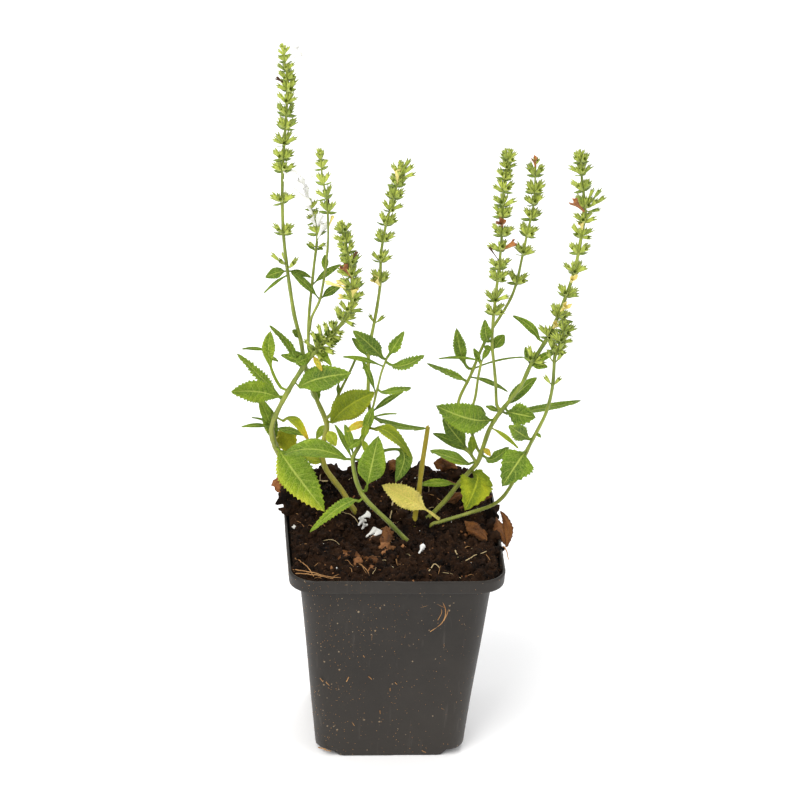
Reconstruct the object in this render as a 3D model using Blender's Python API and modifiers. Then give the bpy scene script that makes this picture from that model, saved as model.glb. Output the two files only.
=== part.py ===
"""Potted sage: a flowering sage plant growing in a square nursery pot.

Metres, +Z up. The origin is the centre of the pot's underside, on the ground.
+X is the plant's right and -Y its front. Stems, flower spikes and leaves are
separate nodes, and a small gap keeps each clear of its neighbours.
"""

import math

import bmesh
import bpy
from mathutils import Vector, noise

MM = 0.001

# ---------------------------------------------------------------- driving sizes

GAP = 0.35 * MM                 # clearance between touching pieces

POT_HEIGHT = 92.5 * MM
POT_RIM = 90.0 * MM             # across the flats, outside the collar
POT_BODY_TOP = 80.5 * MM        # across the wall just under the collar
POT_BODY_BASE = 62.8 * MM       # across the wall at the ground
POT_WALL = 1.1 * MM
POT_FLOOR = 1.2 * MM
POT_CORNER = 8.0 * MM           # corner radius at the base, growing with the wall
CORNER_SEGMENTS = 5
COLLAR_HEIGHT = 6.0 * MM
COLLAR_DRAFT = 0.4 * MM
LEDGE_THICKNESS = 1.3 * MM
LEDGE_RISE = 0.2 * MM           # the step under the collar slopes out by this much
CORNER_LIFT = 3.0 * MM          # the four base corners stand clear of the ground
CORNER_CUT = 9.8 * MM           # leg of each lifted corner
WELL_INSET = 2.0 * MM           # from the outside of the base to the sunk floor's edge
DRAIN_HOLE = 6.0 * MM
DRAIN_RING = 17.0 * MM
DRAIN_SIDES = 12
CUT_MARGIN = 2.0 * MM           # how far a cutter runs past the face it opens
CORNER_BLOCK = 20.0 * MM        # cube that cuts one lifted corner

SOIL_FRONT = 90.0 * MM          # soil level at the front rim
SOIL_RISE = 10.5 * MM           # how much higher it is banked at the back
SOIL_BANK_FOOT = -10.0 * MM     # where the bank starts to climb, front to back
SOIL_BANK_LENGTH = 52.0 * MM
SOIL_EDGE_DROP = 0.25           # share of the bank lost at the rim
SOIL_LUMP = 1.3 * MM            # height of the lumps
SOIL_LUMP_SIZE = 11.0 * MM
SOIL_CELLS = 16
SOIL_CLEARANCE = GAP + 0.3 * MM  # a faceted corner needs a little more than the gap

STEM_STEP = 6.5 * MM            # spacing of a stem's sections
STEM_SIDES = 4                  # sage stems are square
SPIKE_SIDES = 6
TRIM = 0.1                      # share of a section taken off at each try for clearance
SHORTEST = 0.5 * MM             # a section shorter than this is dropped
LEAF_THICKNESS = 0.5 * MM
LEAF_SECTIONS = 7
LEAF_STALK_WIDTH = 1.3 * MM
LEAF_TIP_WIDTH = 0.9 * MM
LEAF_KEEL = 0.14                # depth of the fold along the midrib, of the width
DEAD_STALK = 0.05               # a dead leaf's stalk, as a share of its length
CALYX_HEIGHT = 4.6 * MM
CALYX_BELLY = 0.75              # where a whorl is widest, as a share of its height
CALYX_SPACE = 0.82              # most of the way to the next whorl that one may fill
SPIKE_TIP = 1.5                 # millimetres from the last whorl's space to the very tip
TIP_TAPER = 0.6

# ------------------------------------------------------------------- the plant
# Routes are in millimetres from the origin, from the soil or the parent stem up.

# name: (parent, radius at the foot, radius at the top, route, height where the
# flower spike starts or None)
STEMS = {
    "stem_left": (
        None, 2.3, 1.35,
        [(-31, 27, 92), (-37, 25, 100), (-45, 22, 113), (-50, 18, 125), (-51, 15, 135),
         (-47, 10, 149), (-41, 6, 163), (-36, 3, 173), (-30, 0, 182), (-24, -3, 191),
         (-20, -4, 201), (-20, -5, 210), (-21, -5, 218), (-23, -5, 227), (-25, -5, 237)],
        191),
    "stem_tall": (
        None, 2.2, 0.85,
        [(-14, 13, 92), (-21, 14, 104), (-28, 15, 114), (-30, 15, 124), (-28, 14, 135),
         (-34, 11, 152), (-38, 10, 165), (-40, 9, 177), (-43, 9, 189), (-46, 8, 208),
         (-48, 8, 224), (-49, 8, 240), (-49, 8, 260), (-48, 8, 281), (-48, 7, 297),
         (-50, 6, 310)],
        223),
    "stem_tall_side": (
        "stem_tall", 0.9, 0.7,
        [(-28, 14, 135), (-24, 16, 147), (-19, 19, 157), (-16, 22, 163)],
        None),
    "stem_back_1": (
        "stem_left", 0.85, 0.7,
        [(-37, 4, 172), (-37, 9, 186), (-36, 11, 200), (-35, 12, 212), (-34, 12, 224),
         (-35, 12, 231), (-38, 11, 240)],
        222),
    "stem_back_2": (
        "stem_back_1", 0.8, 0.55,
        [(-37, 7, 180), (-36, 5, 190), (-33, 4, 198), (-31, 4, 211), (-30, 5, 223),
         (-30, 5, 232), (-31, 5, 244), (-33, 4, 254), (-34, 4, 265)],
        229),
    "stem_front": (
        None, 1.45, 0.8,
        [(5, -7, 92), (-3, -9, 102), (-13, -9, 113), (-17, -8, 123), (-18, -7, 130),
         (-14, -6, 139), (-11, -4, 147), (-12, -2, 156), (-12, 0, 164), (-12, 2, 176),
         (-10, 3, 189), (-8, 4, 205), (-8, 5, 219), (-6, 5, 234), (-3, 4, 247),
         (-1, 4, 260)],
        204),
    "stem_front_side": (
        "stem_front", 0.7, 0.6,
        [(-11, -4, 148), (-9, -6, 160), (-7, -7, 171), (-5, -8, 178)],
        None),
    "stem_right": (
        None, 1.75, 1.25,
        [(14, 8, 92), (23, 9, 102), (29, 9, 111), (36, 8, 121), (38, 7, 129), (40, 6, 137),
         (43, 5, 144), (48, 4, 152), (53, 3, 161), (56, 2, 170), (63, 1, 184),
         (68, 0, 199), (72, 0, 214), (74, 0, 229), (75, -1, 242), (73, -1, 255),
         (72, -1, 267)],
        169),
    "stem_right_up": (
        "stem_right", 0.9, 0.85,
        [(43, 5, 145), (42, 7, 158), (41, 8, 167), (40, 9, 175), (40, 9, 188), (41, 9, 204),
         (42, 9, 222), (42, 9, 240), (42, 9, 251), (44, 8, 264)],
        187),
    "stem_right_back": (
        "stem_right", 1.0, 0.8,
        [(36, 8, 120), (29, 14, 128), (27, 17, 136), (28, 18, 146), (32, 18, 156),
         (36.6, 17.5, 170), (41, 17, 180), (45, 16, 188), (49, 14, 199), (51, 13, 212),
         (53, 12, 226), (55, 12, 238), (55, 11, 248), (55, 11, 258)],
        197),
    "stem_right_shoot": (
        "stem_right", 0.9, 0.75,
        [(37, 8, 123), (34, 13, 130), (32, 12, 140), (34, 12, 149), (35, 12, 159),
         (36, 11, 167)],
        None),
    "stem_outer": (
        None, 1.2, 0.85,
        [(20, 4, 94), (33, 4, 98.5), (42, 4, 102), (47, 3, 107), (51, 2, 115), (56, 0, 131),
         (63, -1, 149), (65, -3, 164), (65, -5, 177), (67, -6, 184), (69, -7, 193)],
        177),
    "cut_stub": (
        None, 1.95, 1.5,
        [(9, 3, 92), (11, 4, 107), (12, 5, 121), (14, 6, 137)],
        None),
}

# spike: (its stem, radius at the tip, widest whorl, narrowest whorl, whorl heights)
SPIKES = {
    "spike_left": ("stem_left", 0.7, 4.9, 2.6,
                   [193, 197, 203, 208.5, 214, 219, 224.5, 229, 233.5]),
    "spike_tall": ("stem_tall", 0.5, 4.8, 1.9,
                   [227, 241, 255, 260.5, 267, 274, 280, 285.5, 291, 296, 300, 304, 307]),
    "spike_back_1": ("stem_back_1", 0.5, 3.2, 2.4, [225, 231, 236.5]),
    "spike_back_2": ("stem_back_2", 0.4, 3.2, 1.8, [238, 244.5, 251, 258, 262]),
    "spike_front": ("stem_front", 0.5, 3.6, 3.2,
                    [207, 216, 225, 232.5, 239, 245, 250.5, 255]),
    "spike_right": ("stem_right", 0.55, 5.2, 3.2,
                    [171.5, 183, 193, 202.5, 213, 222, 229.5, 236.5, 243.5, 251, 258, 263.5]),
    "spike_right_up": ("stem_right_up", 0.5, 4.6, 2.6,
                       [190, 196, 205.5, 211, 219, 226, 234.5, 239.5, 246, 251.5, 256, 260]),
    "spike_right_back": ("stem_right_back", 0.5, 4.2, 3.4,
                         [202, 215.5, 224.5, 232, 238.5, 244.5, 252]),
    "spike_outer": ("stem_outer", 0.5, 4.0, 3.2, [179, 184, 189]),
}

UP, FRONT = "up", "front"

# Where the upper side of a blade looks: no blade lies dead level.
FACINGS = {
    UP: Vector((0.0, -0.35, 1.0)),
    FRONT: Vector((0.0, -1.0, 0.45)),
}

# leaf: (stem, height on the stem, middle of the midrib, tip, blade width, share of
# the length that is bare stalk, facing)
LEAVES = {
    "leaf_left_upright": ("stem_left", 151, (-53, 6, 169), (-53, 4, 184), 5.6, 0.50, FRONT),
    "leaf_left_curved": ("stem_left", 165, (-45, 10, 175), (-53, 12, 183), 3.8, 0.06, UP),
    "leaf_left_serrated": ("stem_left", 149, (-56, 17, 157), (-66, 22, 165), 5.2, 0.10, UP),
    "leaf_left_broad": ("stem_left", 150, (-58, 4, 156), (-69, -2, 159), 9.5, 0.05, FRONT),
    "leaf_arched": ("stem_left", 153, (-33, -2, 165), (-20, -9, 171), 11.0, 0.08, FRONT),
    "leaf_turning": ("stem_left", 137, (-42, 8, 141), (-36, 4, 133), 4.6, 0.20, UP),
    "leaf_yellow_back": ("stem_left", 132, (-45, 24, 124), (-41, 27, 112), 10.0, 0.08, FRONT),
    "leaf_hanging_left": ("stem_left", 124, (-41, 4, 117), (-29, -3, 103), 15.0, 0.06, FRONT),
    "leaf_crossing": ("stem_front", 129, (-34, -7, 136), (-47, -6, 132), 10.5, 0.05, UP),
    "leaf_low_front": ("stem_front", 112, (-23, -14, 112), (-36, -19, 102), 5.6, 0.12, UP),
    "leaf_olive": ("stem_tall", 134, (-20, 0, 151), (-10, -9, 162), 12.0, 0.06, FRONT),
    "leaf_dark_narrow": ("stem_front", 149, (1, 1, 142), (13, 2, 140), 3.8, 0.06, UP),
    "leaf_drooping_yellow": ("stem_front", 144, (-2, -10, 144), (7, -10, 132), 7.0, 0.06, UP),
    "leaf_round_front": ("stem_front", 113, (-11, -14, 127), (-8, -13, 144), 11.5, 0.28, FRONT),
    "leaf_folded_over": ("stem_front", 129, (2, -9, 135), (0, -9, 120), 7.0, 0.52, FRONT),
    "leaf_front_upper": ("stem_front_side", 176, (-12, -14, 186), (-20, -18, 195), 6.8, 0.10,
                         FRONT),
    "leaf_folded_tip": ("stem_front_side", 177, (-2, -6, 182), (2, -4, 188), 5.0, 0.10, FRONT),
    "leaf_serrated_tip": ("stem_front_side", 175, (1, -12, 177), (10, -12, 181), 6.8, 0.18, UP),
    "leaf_front_right": ("stem_front_side", 161, (-2, -10, 164), (5, -12, 166), 4.4, 0.06, UP),
    "leaf_veined": ("stem_right", 142, (30, -5, 148), (16, -9, 156), 12.5, 0.05, FRONT),
    "leaf_right_upright": ("stem_right_back", 158, (28, 13, 168), (25, 11, 182), 5.6, 0.38,
                           FRONT),
    "leaf_right_thin": ("stem_right_back", 154, (25, 19, 157), (14, 21, 161), 4.0, 0.05, UP),
    "leaf_dark_upright": ("stem_right_up", 176, (37, 4, 182), (36, 3, 190), 5.2, 0.08, FRONT),
    "leaf_long_curved": ("stem_right", 179, (55, 5, 186), (48, 9, 189), 3.6, 0.05, FRONT),
    "leaf_right_folded": ("stem_right", 147, (51, -3, 149), (58, -6, 149), 9.5, 0.08, FRONT),
    "leaf_long_right": ("stem_right", 145, (64, 10, 146), (79, 14, 147), 4.2, 0.10, UP),
    "leaf_outer_inner": ("stem_outer", 135, (52, -7, 142), (47, -10, 147), 7.0, 0.10, FRONT),
    "leaf_round_hanging": ("stem_outer", 131, (52, -7, 129), (45, -9, 118), 14.5, 0.12, FRONT),
    "leaf_low_right": ("stem_right", 119, (26, 3, 126), (15, 1, 130), 7.5, 0.08, UP),
    "leaf_dark_middle": ("stem_right_back", 125, (26, 5, 135), (20, 3, 144), 7.5, 0.06, FRONT),
    "leaf_right_dark": ("stem_right", 123, (42, 3, 126), (48, 2, 131), 6.8, 0.10, UP),
    "leaf_hanging_yellow": ("stem_right", 117, (35, -2, 116), (30, -6, 105), 14.5, 0.08, FRONT),
}

# loose leaf: (foot, middle, tip, blade width, stalk share, facing, finish), with
# no stem of its own: fallen among the stems, or lying on the soil or the rim
LOOSE_LEAVES = {
    "leaf_pale_fallen": ((20, -1, 98), (8, -3, 108), (-5, 0, 114), 9.5, 0.28, FRONT,
                         "leaf_pale"),
    "dead_leaf_curled": ((29, 9, 98), (36, 9.5, 100.5), (43, 10, 103.5), 4.2, DEAD_STALK,
                         FRONT, "leaf_dead"),
    "dead_leaf_rim": ((47, -18, 94), (48, -14, 101), (44.5, -10, 107), 7.5, DEAD_STALK,
                      FRONT, "leaf_dead"),
}

# ------------------------------------------------------------------- materials

COLOURS = {
    "pot_plastic": ((0.045, 0.038, 0.033), 0.55),
    "peat": ((0.020, 0.011, 0.006), 0.95),
    "stem_green": ((0.22, 0.30, 0.05), 0.55),
    "stub_olive": ((0.30, 0.26, 0.03), 0.60),
    "calyx_green": ((0.28, 0.38, 0.06), 0.60),
    "leaf_fresh": ((0.09, 0.19, 0.03), 0.60),
    "leaf_yellowing": ((0.36, 0.38, 0.03), 0.60),
    "leaf_pale": ((0.75, 0.62, 0.20), 0.65),
    "leaf_dead": ((0.16, 0.06, 0.02), 0.80),
}

YELLOWING = {"leaf_yellow_back", "leaf_olive", "leaf_drooping_yellow", "leaf_hanging_yellow",
             "leaf_turning"}


def material(name):
    """Principled material with the finish's colour and roughness."""
    found = bpy.data.materials.get(name)
    if found:
        return found
    colour, roughness = COLOURS[name]
    made = bpy.data.materials.new(name)
    made.use_nodes = True
    shader = made.node_tree.nodes["Principled BSDF"]
    shader.inputs["Base Color"].default_value = (*colour, 1.0)
    shader.inputs["Roughness"].default_value = roughness
    shader.inputs["Metallic"].default_value = 0.0
    return made


# ----------------------------------------------------------------- scene set-up

def clear_scene():
    """Remove whatever the file opened with."""
    for old in list(bpy.data.objects):
        bpy.data.objects.remove(old, do_unlink=True)


def new_collection(name):
    """A collection under the scene's own."""
    made = bpy.data.collections.new(name)
    bpy.context.scene.collection.children.link(made)
    return made


def add_mesh(name, bm, collection, finish=None):
    """Turn a bmesh into a named object in a collection."""
    mesh = bpy.data.meshes.new(name)
    bm.to_mesh(mesh)
    bm.free()
    made = bpy.data.objects.new(name, mesh)
    collection.objects.link(made)
    if finish:
        mesh.materials.append(material(finish))
    return made


def as_cutter(cutter):
    """Show a boolean cutter as wires and keep it out of the model."""
    cutter.hide_render = True
    cutter.display_type = "WIRE"
    return cutter


def cut(target, cutter):
    """Subtract one object from another."""
    boolean = target.modifiers.new("cut " + cutter.name, "BOOLEAN")
    boolean.operation = "DIFFERENCE"
    boolean.solver = "EXACT"
    boolean.object = cutter


# -------------------------------------------------------------- curves and routes

def smooth_route(points, step):
    """Points about a step apart on a smooth curve through the given points."""
    knots = [Vector(p) * MM for p in points]
    knots = [knots[0] * 2 - knots[1]] + knots + [knots[-1] * 2 - knots[-2]]
    route = []
    for a, b, c, d in zip(knots, knots[1:], knots[2:], knots[3:]):
        count = max(1, round((c - b).length / step))
        for i in range(count):
            t = i / count
            route.append(0.5 * (2 * b + (c - a) * t + (2 * a - 5 * b + 4 * c - d) * t * t
                                + (3 * b - a - 3 * c + d) * t ** 3))
    route.append(knots[-2])
    return route


def point_at_height(route, height):
    """Where a climbing route passes a height."""
    for a, b in zip(route, route[1:]):
        if a.z <= height < b.z:
            return a.lerp(b, (height - a.z) / (b.z - a.z))
    return route[0] if height < route[0].z else route[-1]


def distance_to_route(point, route):
    """Shortest distance from a point to a route of straight pieces."""
    best = 1.0
    for a, b in zip(route, route[1:]):
        along = b - a
        t = max(0.0, min(1.0, (point - a).dot(along) / along.length_squared))
        best = min(best, (point - a - along * t).length)
    return best


def split_route(route, height):
    """The parts of a climbing route below and above a height."""
    middle = point_at_height(route, height)
    below = [p for p in route if p.z < height - MM] + [middle]
    above = [middle] + [p for p in route if p.z > height + MM]
    return below, above


def tube(name, route, radii, sides, finish, collection):
    """A tube with its own radius at every point, square for four sides."""
    curve = bpy.data.curves.new(name, "CURVE")
    curve.dimensions = "3D"
    curve.bevel_depth = 1.0
    curve.bevel_resolution = (sides - 4) // 2
    curve.use_fill_caps = True
    spline = curve.splines.new("POLY")
    spline.points.add(len(route) - 1)
    for knot, place, radius in zip(spline.points, route, radii):
        knot.co = (*place, 1.0)
        knot.radius = radius
    curve.materials.append(material(finish))
    made = bpy.data.objects.new(name, curve)
    collection.objects.link(made)
    return made


# ------------------------------------------------------------------------- pot

def square_loft(stations, corner, segments=CORNER_SEGMENTS):
    """A closed rounded-square body through (half width, height) stations."""
    width, foot = stations[0]
    bm = bmesh.new()
    bmesh.ops.create_grid(bm, x_segments=1, y_segments=1, size=width)
    bmesh.ops.bevel(bm, geom=bm.verts[:], offset=corner, segments=segments, profile=0.5,
                    affect="VERTICES", offset_type="OFFSET")
    top = max(bm.faces, key=lambda face: face.calc_area())
    for vert in bm.verts:
        vert.co.z = foot
    for i, (next_width, height) in enumerate(stations[1:]):
        below = top
        made = bmesh.ops.extrude_face_region(bm, geom=[below])["geom"]
        top = next(g for g in made if isinstance(g, bmesh.types.BMFace))
        if i > 0:
            bmesh.ops.delete(bm, geom=[below], context="FACES_ONLY")
        for vert in top.verts:
            vert.co.x *= next_width / width
            vert.co.y *= next_width / width
            vert.co.z = height
        width = next_width
    bmesh.ops.recalc_face_normals(bm, faces=bm.faces[:])
    return bm


def wall_half_width(height):
    """Half the pot's outer width at a height below the collar."""
    ledge = POT_HEIGHT - COLLAR_HEIGHT
    share = height / ledge
    return 0.5 * (POT_BODY_BASE + (POT_BODY_TOP - POT_BODY_BASE) * share)


def build_pot(parts, cutters):
    """Thin tapered wall, stepped-out collar, lifted base corners, drain holes."""
    ledge = POT_HEIGHT - COLLAR_HEIGHT
    collar = 0.5 * POT_RIM
    outside = square_loft(
        [(wall_half_width(0.0), 0.0), (wall_half_width(ledge), ledge),
         (collar - COLLAR_DRAFT, ledge + LEDGE_RISE), (collar, POT_HEIGHT)],
        POT_CORNER)
    pot = add_mesh("pot", outside, parts, "pot_plastic")

    floor = CORNER_LIFT + POT_FLOOR
    step = ledge + LEDGE_THICKNESS
    inside = square_loft(
        [(wall_half_width(floor) - POT_WALL, floor), (wall_half_width(ledge) - POT_WALL, step),
         (collar - COLLAR_DRAFT - POT_WALL, step + LEDGE_RISE),
         (collar - POT_WALL, POT_HEIGHT + CUT_MARGIN)],
        POT_CORNER - POT_WALL)
    cut(pot, as_cutter(add_mesh("cut_hollow", inside, cutters)))

    plate = 0.5 * POT_BODY_BASE - WELL_INSET
    well = square_loft([(plate, POT_FLOOR), (plate, floor + CUT_MARGIN)], CORNER_CUT, segments=1)
    cut(pot, as_cutter(add_mesh("cut_well", well, cutters)))

    reach = (POT_BODY_BASE - CORNER_CUT) / math.sqrt(2.0) + 0.5 * CORNER_BLOCK
    for i in range(4):
        angle = math.radians(45 + 90 * i)
        corner = bmesh.new()
        bmesh.ops.create_cube(corner, size=CORNER_BLOCK)
        cutter = as_cutter(add_mesh(f"cut_corner_{i + 1}", corner, cutters))
        cutter.location = (reach * math.cos(angle), reach * math.sin(angle),
                           CORNER_LIFT - 0.5 * CORNER_BLOCK)
        cutter.rotation_euler = (0.0, 0.0, angle)
        cut(pot, cutter)
    for i in range(4):
        angle = math.radians(90 * i)
        hole = bmesh.new()
        bmesh.ops.create_cone(hole, cap_ends=True, segments=DRAIN_SIDES,
                              radius1=0.5 * DRAIN_HOLE, radius2=0.5 * DRAIN_HOLE,
                              depth=2 * (POT_FLOOR + CUT_MARGIN))
        cutter = as_cutter(add_mesh(f"cut_drain_{i + 1}", hole, cutters))
        cutter.location = (DRAIN_RING * math.cos(angle), DRAIN_RING * math.sin(angle), 0.0)
        cut(pot, cutter)


# ------------------------------------------------------------------------ soil

def soil_height(x, y):
    """Height of the soil's surface: banked to the back, with soft lumps."""
    bank = max(0.0, min(1.0, (y - SOIL_BANK_FOOT) / SOIL_BANK_LENGTH))
    bank = bank * bank * (3 - 2 * bank)
    lump = noise.noise(Vector((x, y, 0.0)) / SOIL_LUMP_SIZE)
    edge = max(abs(x), abs(y)) / (0.5 * POT_RIM)
    return SOIL_FRONT + SOIL_RISE * bank * (1 - SOIL_EDGE_DROP * edge ** 4) + SOIL_LUMP * lump


def build_soil(parts):
    """The root ball: a lumpy top on a plug that follows the pot's inside."""
    half = 0.5 * POT_RIM - POT_WALL - SOIL_CLEARANCE
    corner = POT_CORNER * POT_RIM / POT_BODY_BASE
    bm = bmesh.new()
    bmesh.ops.create_grid(bm, x_segments=SOIL_CELLS, y_segments=SOIL_CELLS, size=half)
    for vert in bm.verts:
        over_x = max(0.0, abs(vert.co.x) - (half - corner))
        over_y = max(0.0, abs(vert.co.y) - (half - corner))
        spread = max(over_x, over_y)
        if spread > 0.0:
            pull = spread / math.hypot(over_x, over_y)
            vert.co.x = math.copysign(abs(vert.co.x) - over_x * (1 - pull), vert.co.x)
            vert.co.y = math.copysign(abs(vert.co.y) - over_y * (1 - pull), vert.co.y)
        vert.co.z = soil_height(vert.co.x, vert.co.y)

    ledge = POT_HEIGHT - COLLAR_HEIGHT + LEDGE_THICKNESS + LEDGE_RISE + GAP
    bottom = CORNER_LIFT + POT_FLOOR + GAP
    neck = wall_half_width(ledge) - POT_WALL - SOIL_CLEARANCE
    foot = wall_half_width(bottom) - POT_WALL - SOIL_CLEARANCE
    rim = [e for e in bm.edges if e.is_boundary]
    width = half
    for next_width, height in [(half, ledge), (neck, ledge), (foot, bottom)]:
        made = bmesh.ops.extrude_edge_only(bm, edges=rim)["geom"]
        rim = [g for g in made if isinstance(g, bmesh.types.BMEdge)]
        for vert in [g for g in made if isinstance(g, bmesh.types.BMVert)]:
            vert.co.x *= next_width / width
            vert.co.y *= next_width / width
            vert.co.z = height
        width = next_width
    bmesh.ops.contextual_create(bm, geom=rim)
    bmesh.ops.recalc_face_normals(bm, faces=bm.faces[:])
    add_mesh("soil", bm, parts, "peat")


# ------------------------------------------------------------ stems and spikes

def taper(route, start, end):
    """A radius for each point, from start to end."""
    last = len(route) - 1
    return [(start + (end - start) * i / last) * MM for i in range(len(route))]


def too_close(foot, parent, radius, routes, reach):
    """Whether a stem's foot still touches its parent stem, or the soil if it has none."""
    if parent:
        return distance_to_route(foot, routes[parent]) < reach[parent] + radius + GAP
    return foot.z < soil_height(foot.x, foot.y) + radius


def build_stems(parts):
    """Square stems, from the soil or their parent to their top or spike."""
    routes = {}
    reach = {}
    for name, (parent, foot, top, points, split) in STEMS.items():
        route = smooth_route(points, STEM_STEP)
        while too_close(route[0], parent, foot * MM, routes, reach):
            route[0] = route[0].lerp(route[1], TRIM)
            if (route[0] - route[1]).length < SHORTEST:
                route.pop(0)
        routes[name] = route
        reach[name] = foot * MM
        below = split_route(route, split * MM)[0] if split else route
        finish = "stub_olive" if name == "cut_stub" else "stem_green"
        tube(name, below, taper(below, foot, top), STEM_SIDES, finish, parts)
    return routes


def build_spike(name, route, parts):
    """A flower spike: a thin axis that widens at every whorl of calyxes."""
    stem, tip_radius, widest, narrowest, heights = SPIKES[name]
    top_radius = STEMS[stem][2]
    route = split_route(route, STEMS[stem][4] * MM)[1]
    start = point_at_height(route, route[0].z + 1.3 * GAP)
    tops = heights[1:] + [route[-1].z / MM + SPIKE_TIP]
    places, radii = [start], [top_radius * MM]
    for i, (height, following) in enumerate(zip(heights, tops)):
        share = i / max(1, len(heights) - 1)
        axis = (top_radius + (tip_radius - top_radius) * share) * MM
        whorl = (widest + (narrowest - widest) * share ** 1.5) * MM
        rise = min(CALYX_HEIGHT, CALYX_SPACE * (following - height) * MM)
        foot = height * MM
        belly = foot + CALYX_BELLY * rise
        for level, radius in ((foot, axis), (belly, whorl), (foot + rise, axis)):
            places.append(point_at_height(route, level))
            radii.append(radius)
    if (places[-1] - route[-1]).length > GAP:
        places.append(route[-1])
        radii.append(TIP_TAPER * tip_radius * MM)
    tube(name, places, radii, SPIKE_SIDES, "calyx_green", parts)


# ---------------------------------------------------------------------- leaves

def blade_half_width(t, width, stalk):
    """Half the width at a share t of the length: stalk, belly, then a point."""
    narrow = 0.5 * LEAF_STALK_WIDTH
    if t <= stalk:
        return narrow
    s = (t - stalk) / (1 - stalk)
    belly = math.sin(math.pi * s ** 0.85) ** 0.75 if s < 1 else 0.0
    end = narrow + (0.5 * LEAF_TIP_WIDTH - narrow) * s
    return max(end, 0.5 * width * belly)


def build_leaf(name, foot, middle, tip, width, stalk, facing, finish, parts):
    """A thin curved blade, folded a little along its midrib."""
    bm = bmesh.new()
    bmesh.ops.create_grid(bm, x_segments=2, y_segments=LEAF_SECTIONS, size=1.0)
    look = FACINGS[facing].normalized()
    for vert in bm.verts:
        side, t = vert.co.x, 0.5 * (vert.co.y + 1.0)
        bow = 2 * middle - 0.5 * (foot + tip)
        along = (2 * (1 - t) * (bow - foot) + 2 * t * (tip - bow)).normalized()
        rib = foot * (1 - t) ** 2 + bow * 2 * t * (1 - t) + tip * t * t
        across = along.cross(look).normalized()
        up = across.cross(along)
        half = blade_half_width(t, width, stalk)
        vert.co = rib + across * (side * half) - up * ((1 - abs(side)) * LEAF_KEEL * 2 * half)
    leaf = add_mesh(name, bm, parts, finish)
    shell = leaf.modifiers.new("thickness", "SOLIDIFY")
    shell.thickness = LEAF_THICKNESS
    shell.offset = 0.0


def build_leaves(routes, parts):
    """Leaves just clear of their stems, and the loose ones where they lie."""
    for name, (stem, height, middle, tip, width, stalk, facing) in LEAVES.items():
        middle, tip = Vector(middle) * MM, Vector(tip) * MM
        foot = point_at_height(routes[stem], height * MM)
        aim = (middle - foot).normalized()
        clear = STEMS[stem][1] * MM + GAP + 0.5 * LEAF_STALK_WIDTH
        foot += aim * clear
        while distance_to_route(foot, routes[stem]) < clear:
            foot += aim * GAP
        finish = "leaf_yellowing" if name in YELLOWING else "leaf_fresh"
        build_leaf(name, foot, middle, tip, width * MM, stalk, facing, finish, parts)
    for name, (foot, middle, tip, width, stalk, facing, finish) in LOOSE_LEAVES.items():
        build_leaf(name, Vector(foot) * MM, Vector(middle) * MM, Vector(tip) * MM, width * MM,
                   stalk, facing, finish, parts)


# ------------------------------------------------------------------------ main

def main():
    clear_scene()
    parts = new_collection("potted_sage")
    cutters = new_collection("cutters")
    build_pot(parts, cutters)
    build_soil(parts)
    routes = build_stems(parts)
    for spike in SPIKES:
        build_spike(spike, routes[SPIKES[spike][0]], parts)
    build_leaves(routes, parts)


main()
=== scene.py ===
# %% [markdown]
# # A potted sage, rebuilt around its CAD frame
#
# The frame is a fixed set of simple solids: a pot, a root ball, square stems, flower spikes with one
# ring per whorl, and thin leaf blades. This lesson keeps every solid's place and size, measures it, and
# grows the real surfaces on it: toothed and veined leaves, bell-shaped calyxes, crumbly peat and a dusty
# plastic pot. Everything is in metres, +Z is up, and -Y is the front.

# %% Load the frame
import math
import random

import bmesh
import bpy
import numpy as np
from mathutils import Matrix, Vector, noise
from mathutils.bvhtree import BVHTree


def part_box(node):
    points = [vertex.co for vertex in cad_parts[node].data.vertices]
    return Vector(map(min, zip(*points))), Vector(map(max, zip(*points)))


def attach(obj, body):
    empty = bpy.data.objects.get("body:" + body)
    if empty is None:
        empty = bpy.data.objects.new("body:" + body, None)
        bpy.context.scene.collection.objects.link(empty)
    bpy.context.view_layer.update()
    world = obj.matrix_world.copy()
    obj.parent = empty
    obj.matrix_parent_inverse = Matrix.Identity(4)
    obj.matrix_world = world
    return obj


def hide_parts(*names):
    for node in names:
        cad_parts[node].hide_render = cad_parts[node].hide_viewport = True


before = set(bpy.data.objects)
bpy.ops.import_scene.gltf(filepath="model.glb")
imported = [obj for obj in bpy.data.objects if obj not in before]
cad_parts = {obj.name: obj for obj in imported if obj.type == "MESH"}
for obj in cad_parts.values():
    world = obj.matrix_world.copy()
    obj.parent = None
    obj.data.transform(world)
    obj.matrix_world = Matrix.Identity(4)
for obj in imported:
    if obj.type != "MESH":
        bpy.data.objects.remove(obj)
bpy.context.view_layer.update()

MM = 0.001
BODY = "root"

# %% [markdown]
# ## The camera, the floor and the light
#
# A long lens from a little above keeps the pot's walls nearly parallel, as in a product picture. The
# floor and the world are almost white and the lights are large, so shadows are soft and the dark pot
# still shows its edges. The floor is no part of the plant.

# %% Camera
def add_object(name, data):
    """Put a mesh, a light or a camera in the scene."""
    made = bpy.data.objects.new(name, data)
    bpy.context.scene.collection.objects.link(made)
    return made


CAMERA_PLACE = Vector((-0.125474, -1.709941, 1.014680))
CAMERA_FORWARD = Vector((0.066177, 0.891313, -0.448533)).normalized()
CAMERA_UP = Vector((0.000446, 0.449491, 0.893285))
SENSOR = 36.0
LENS = 206.64

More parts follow.
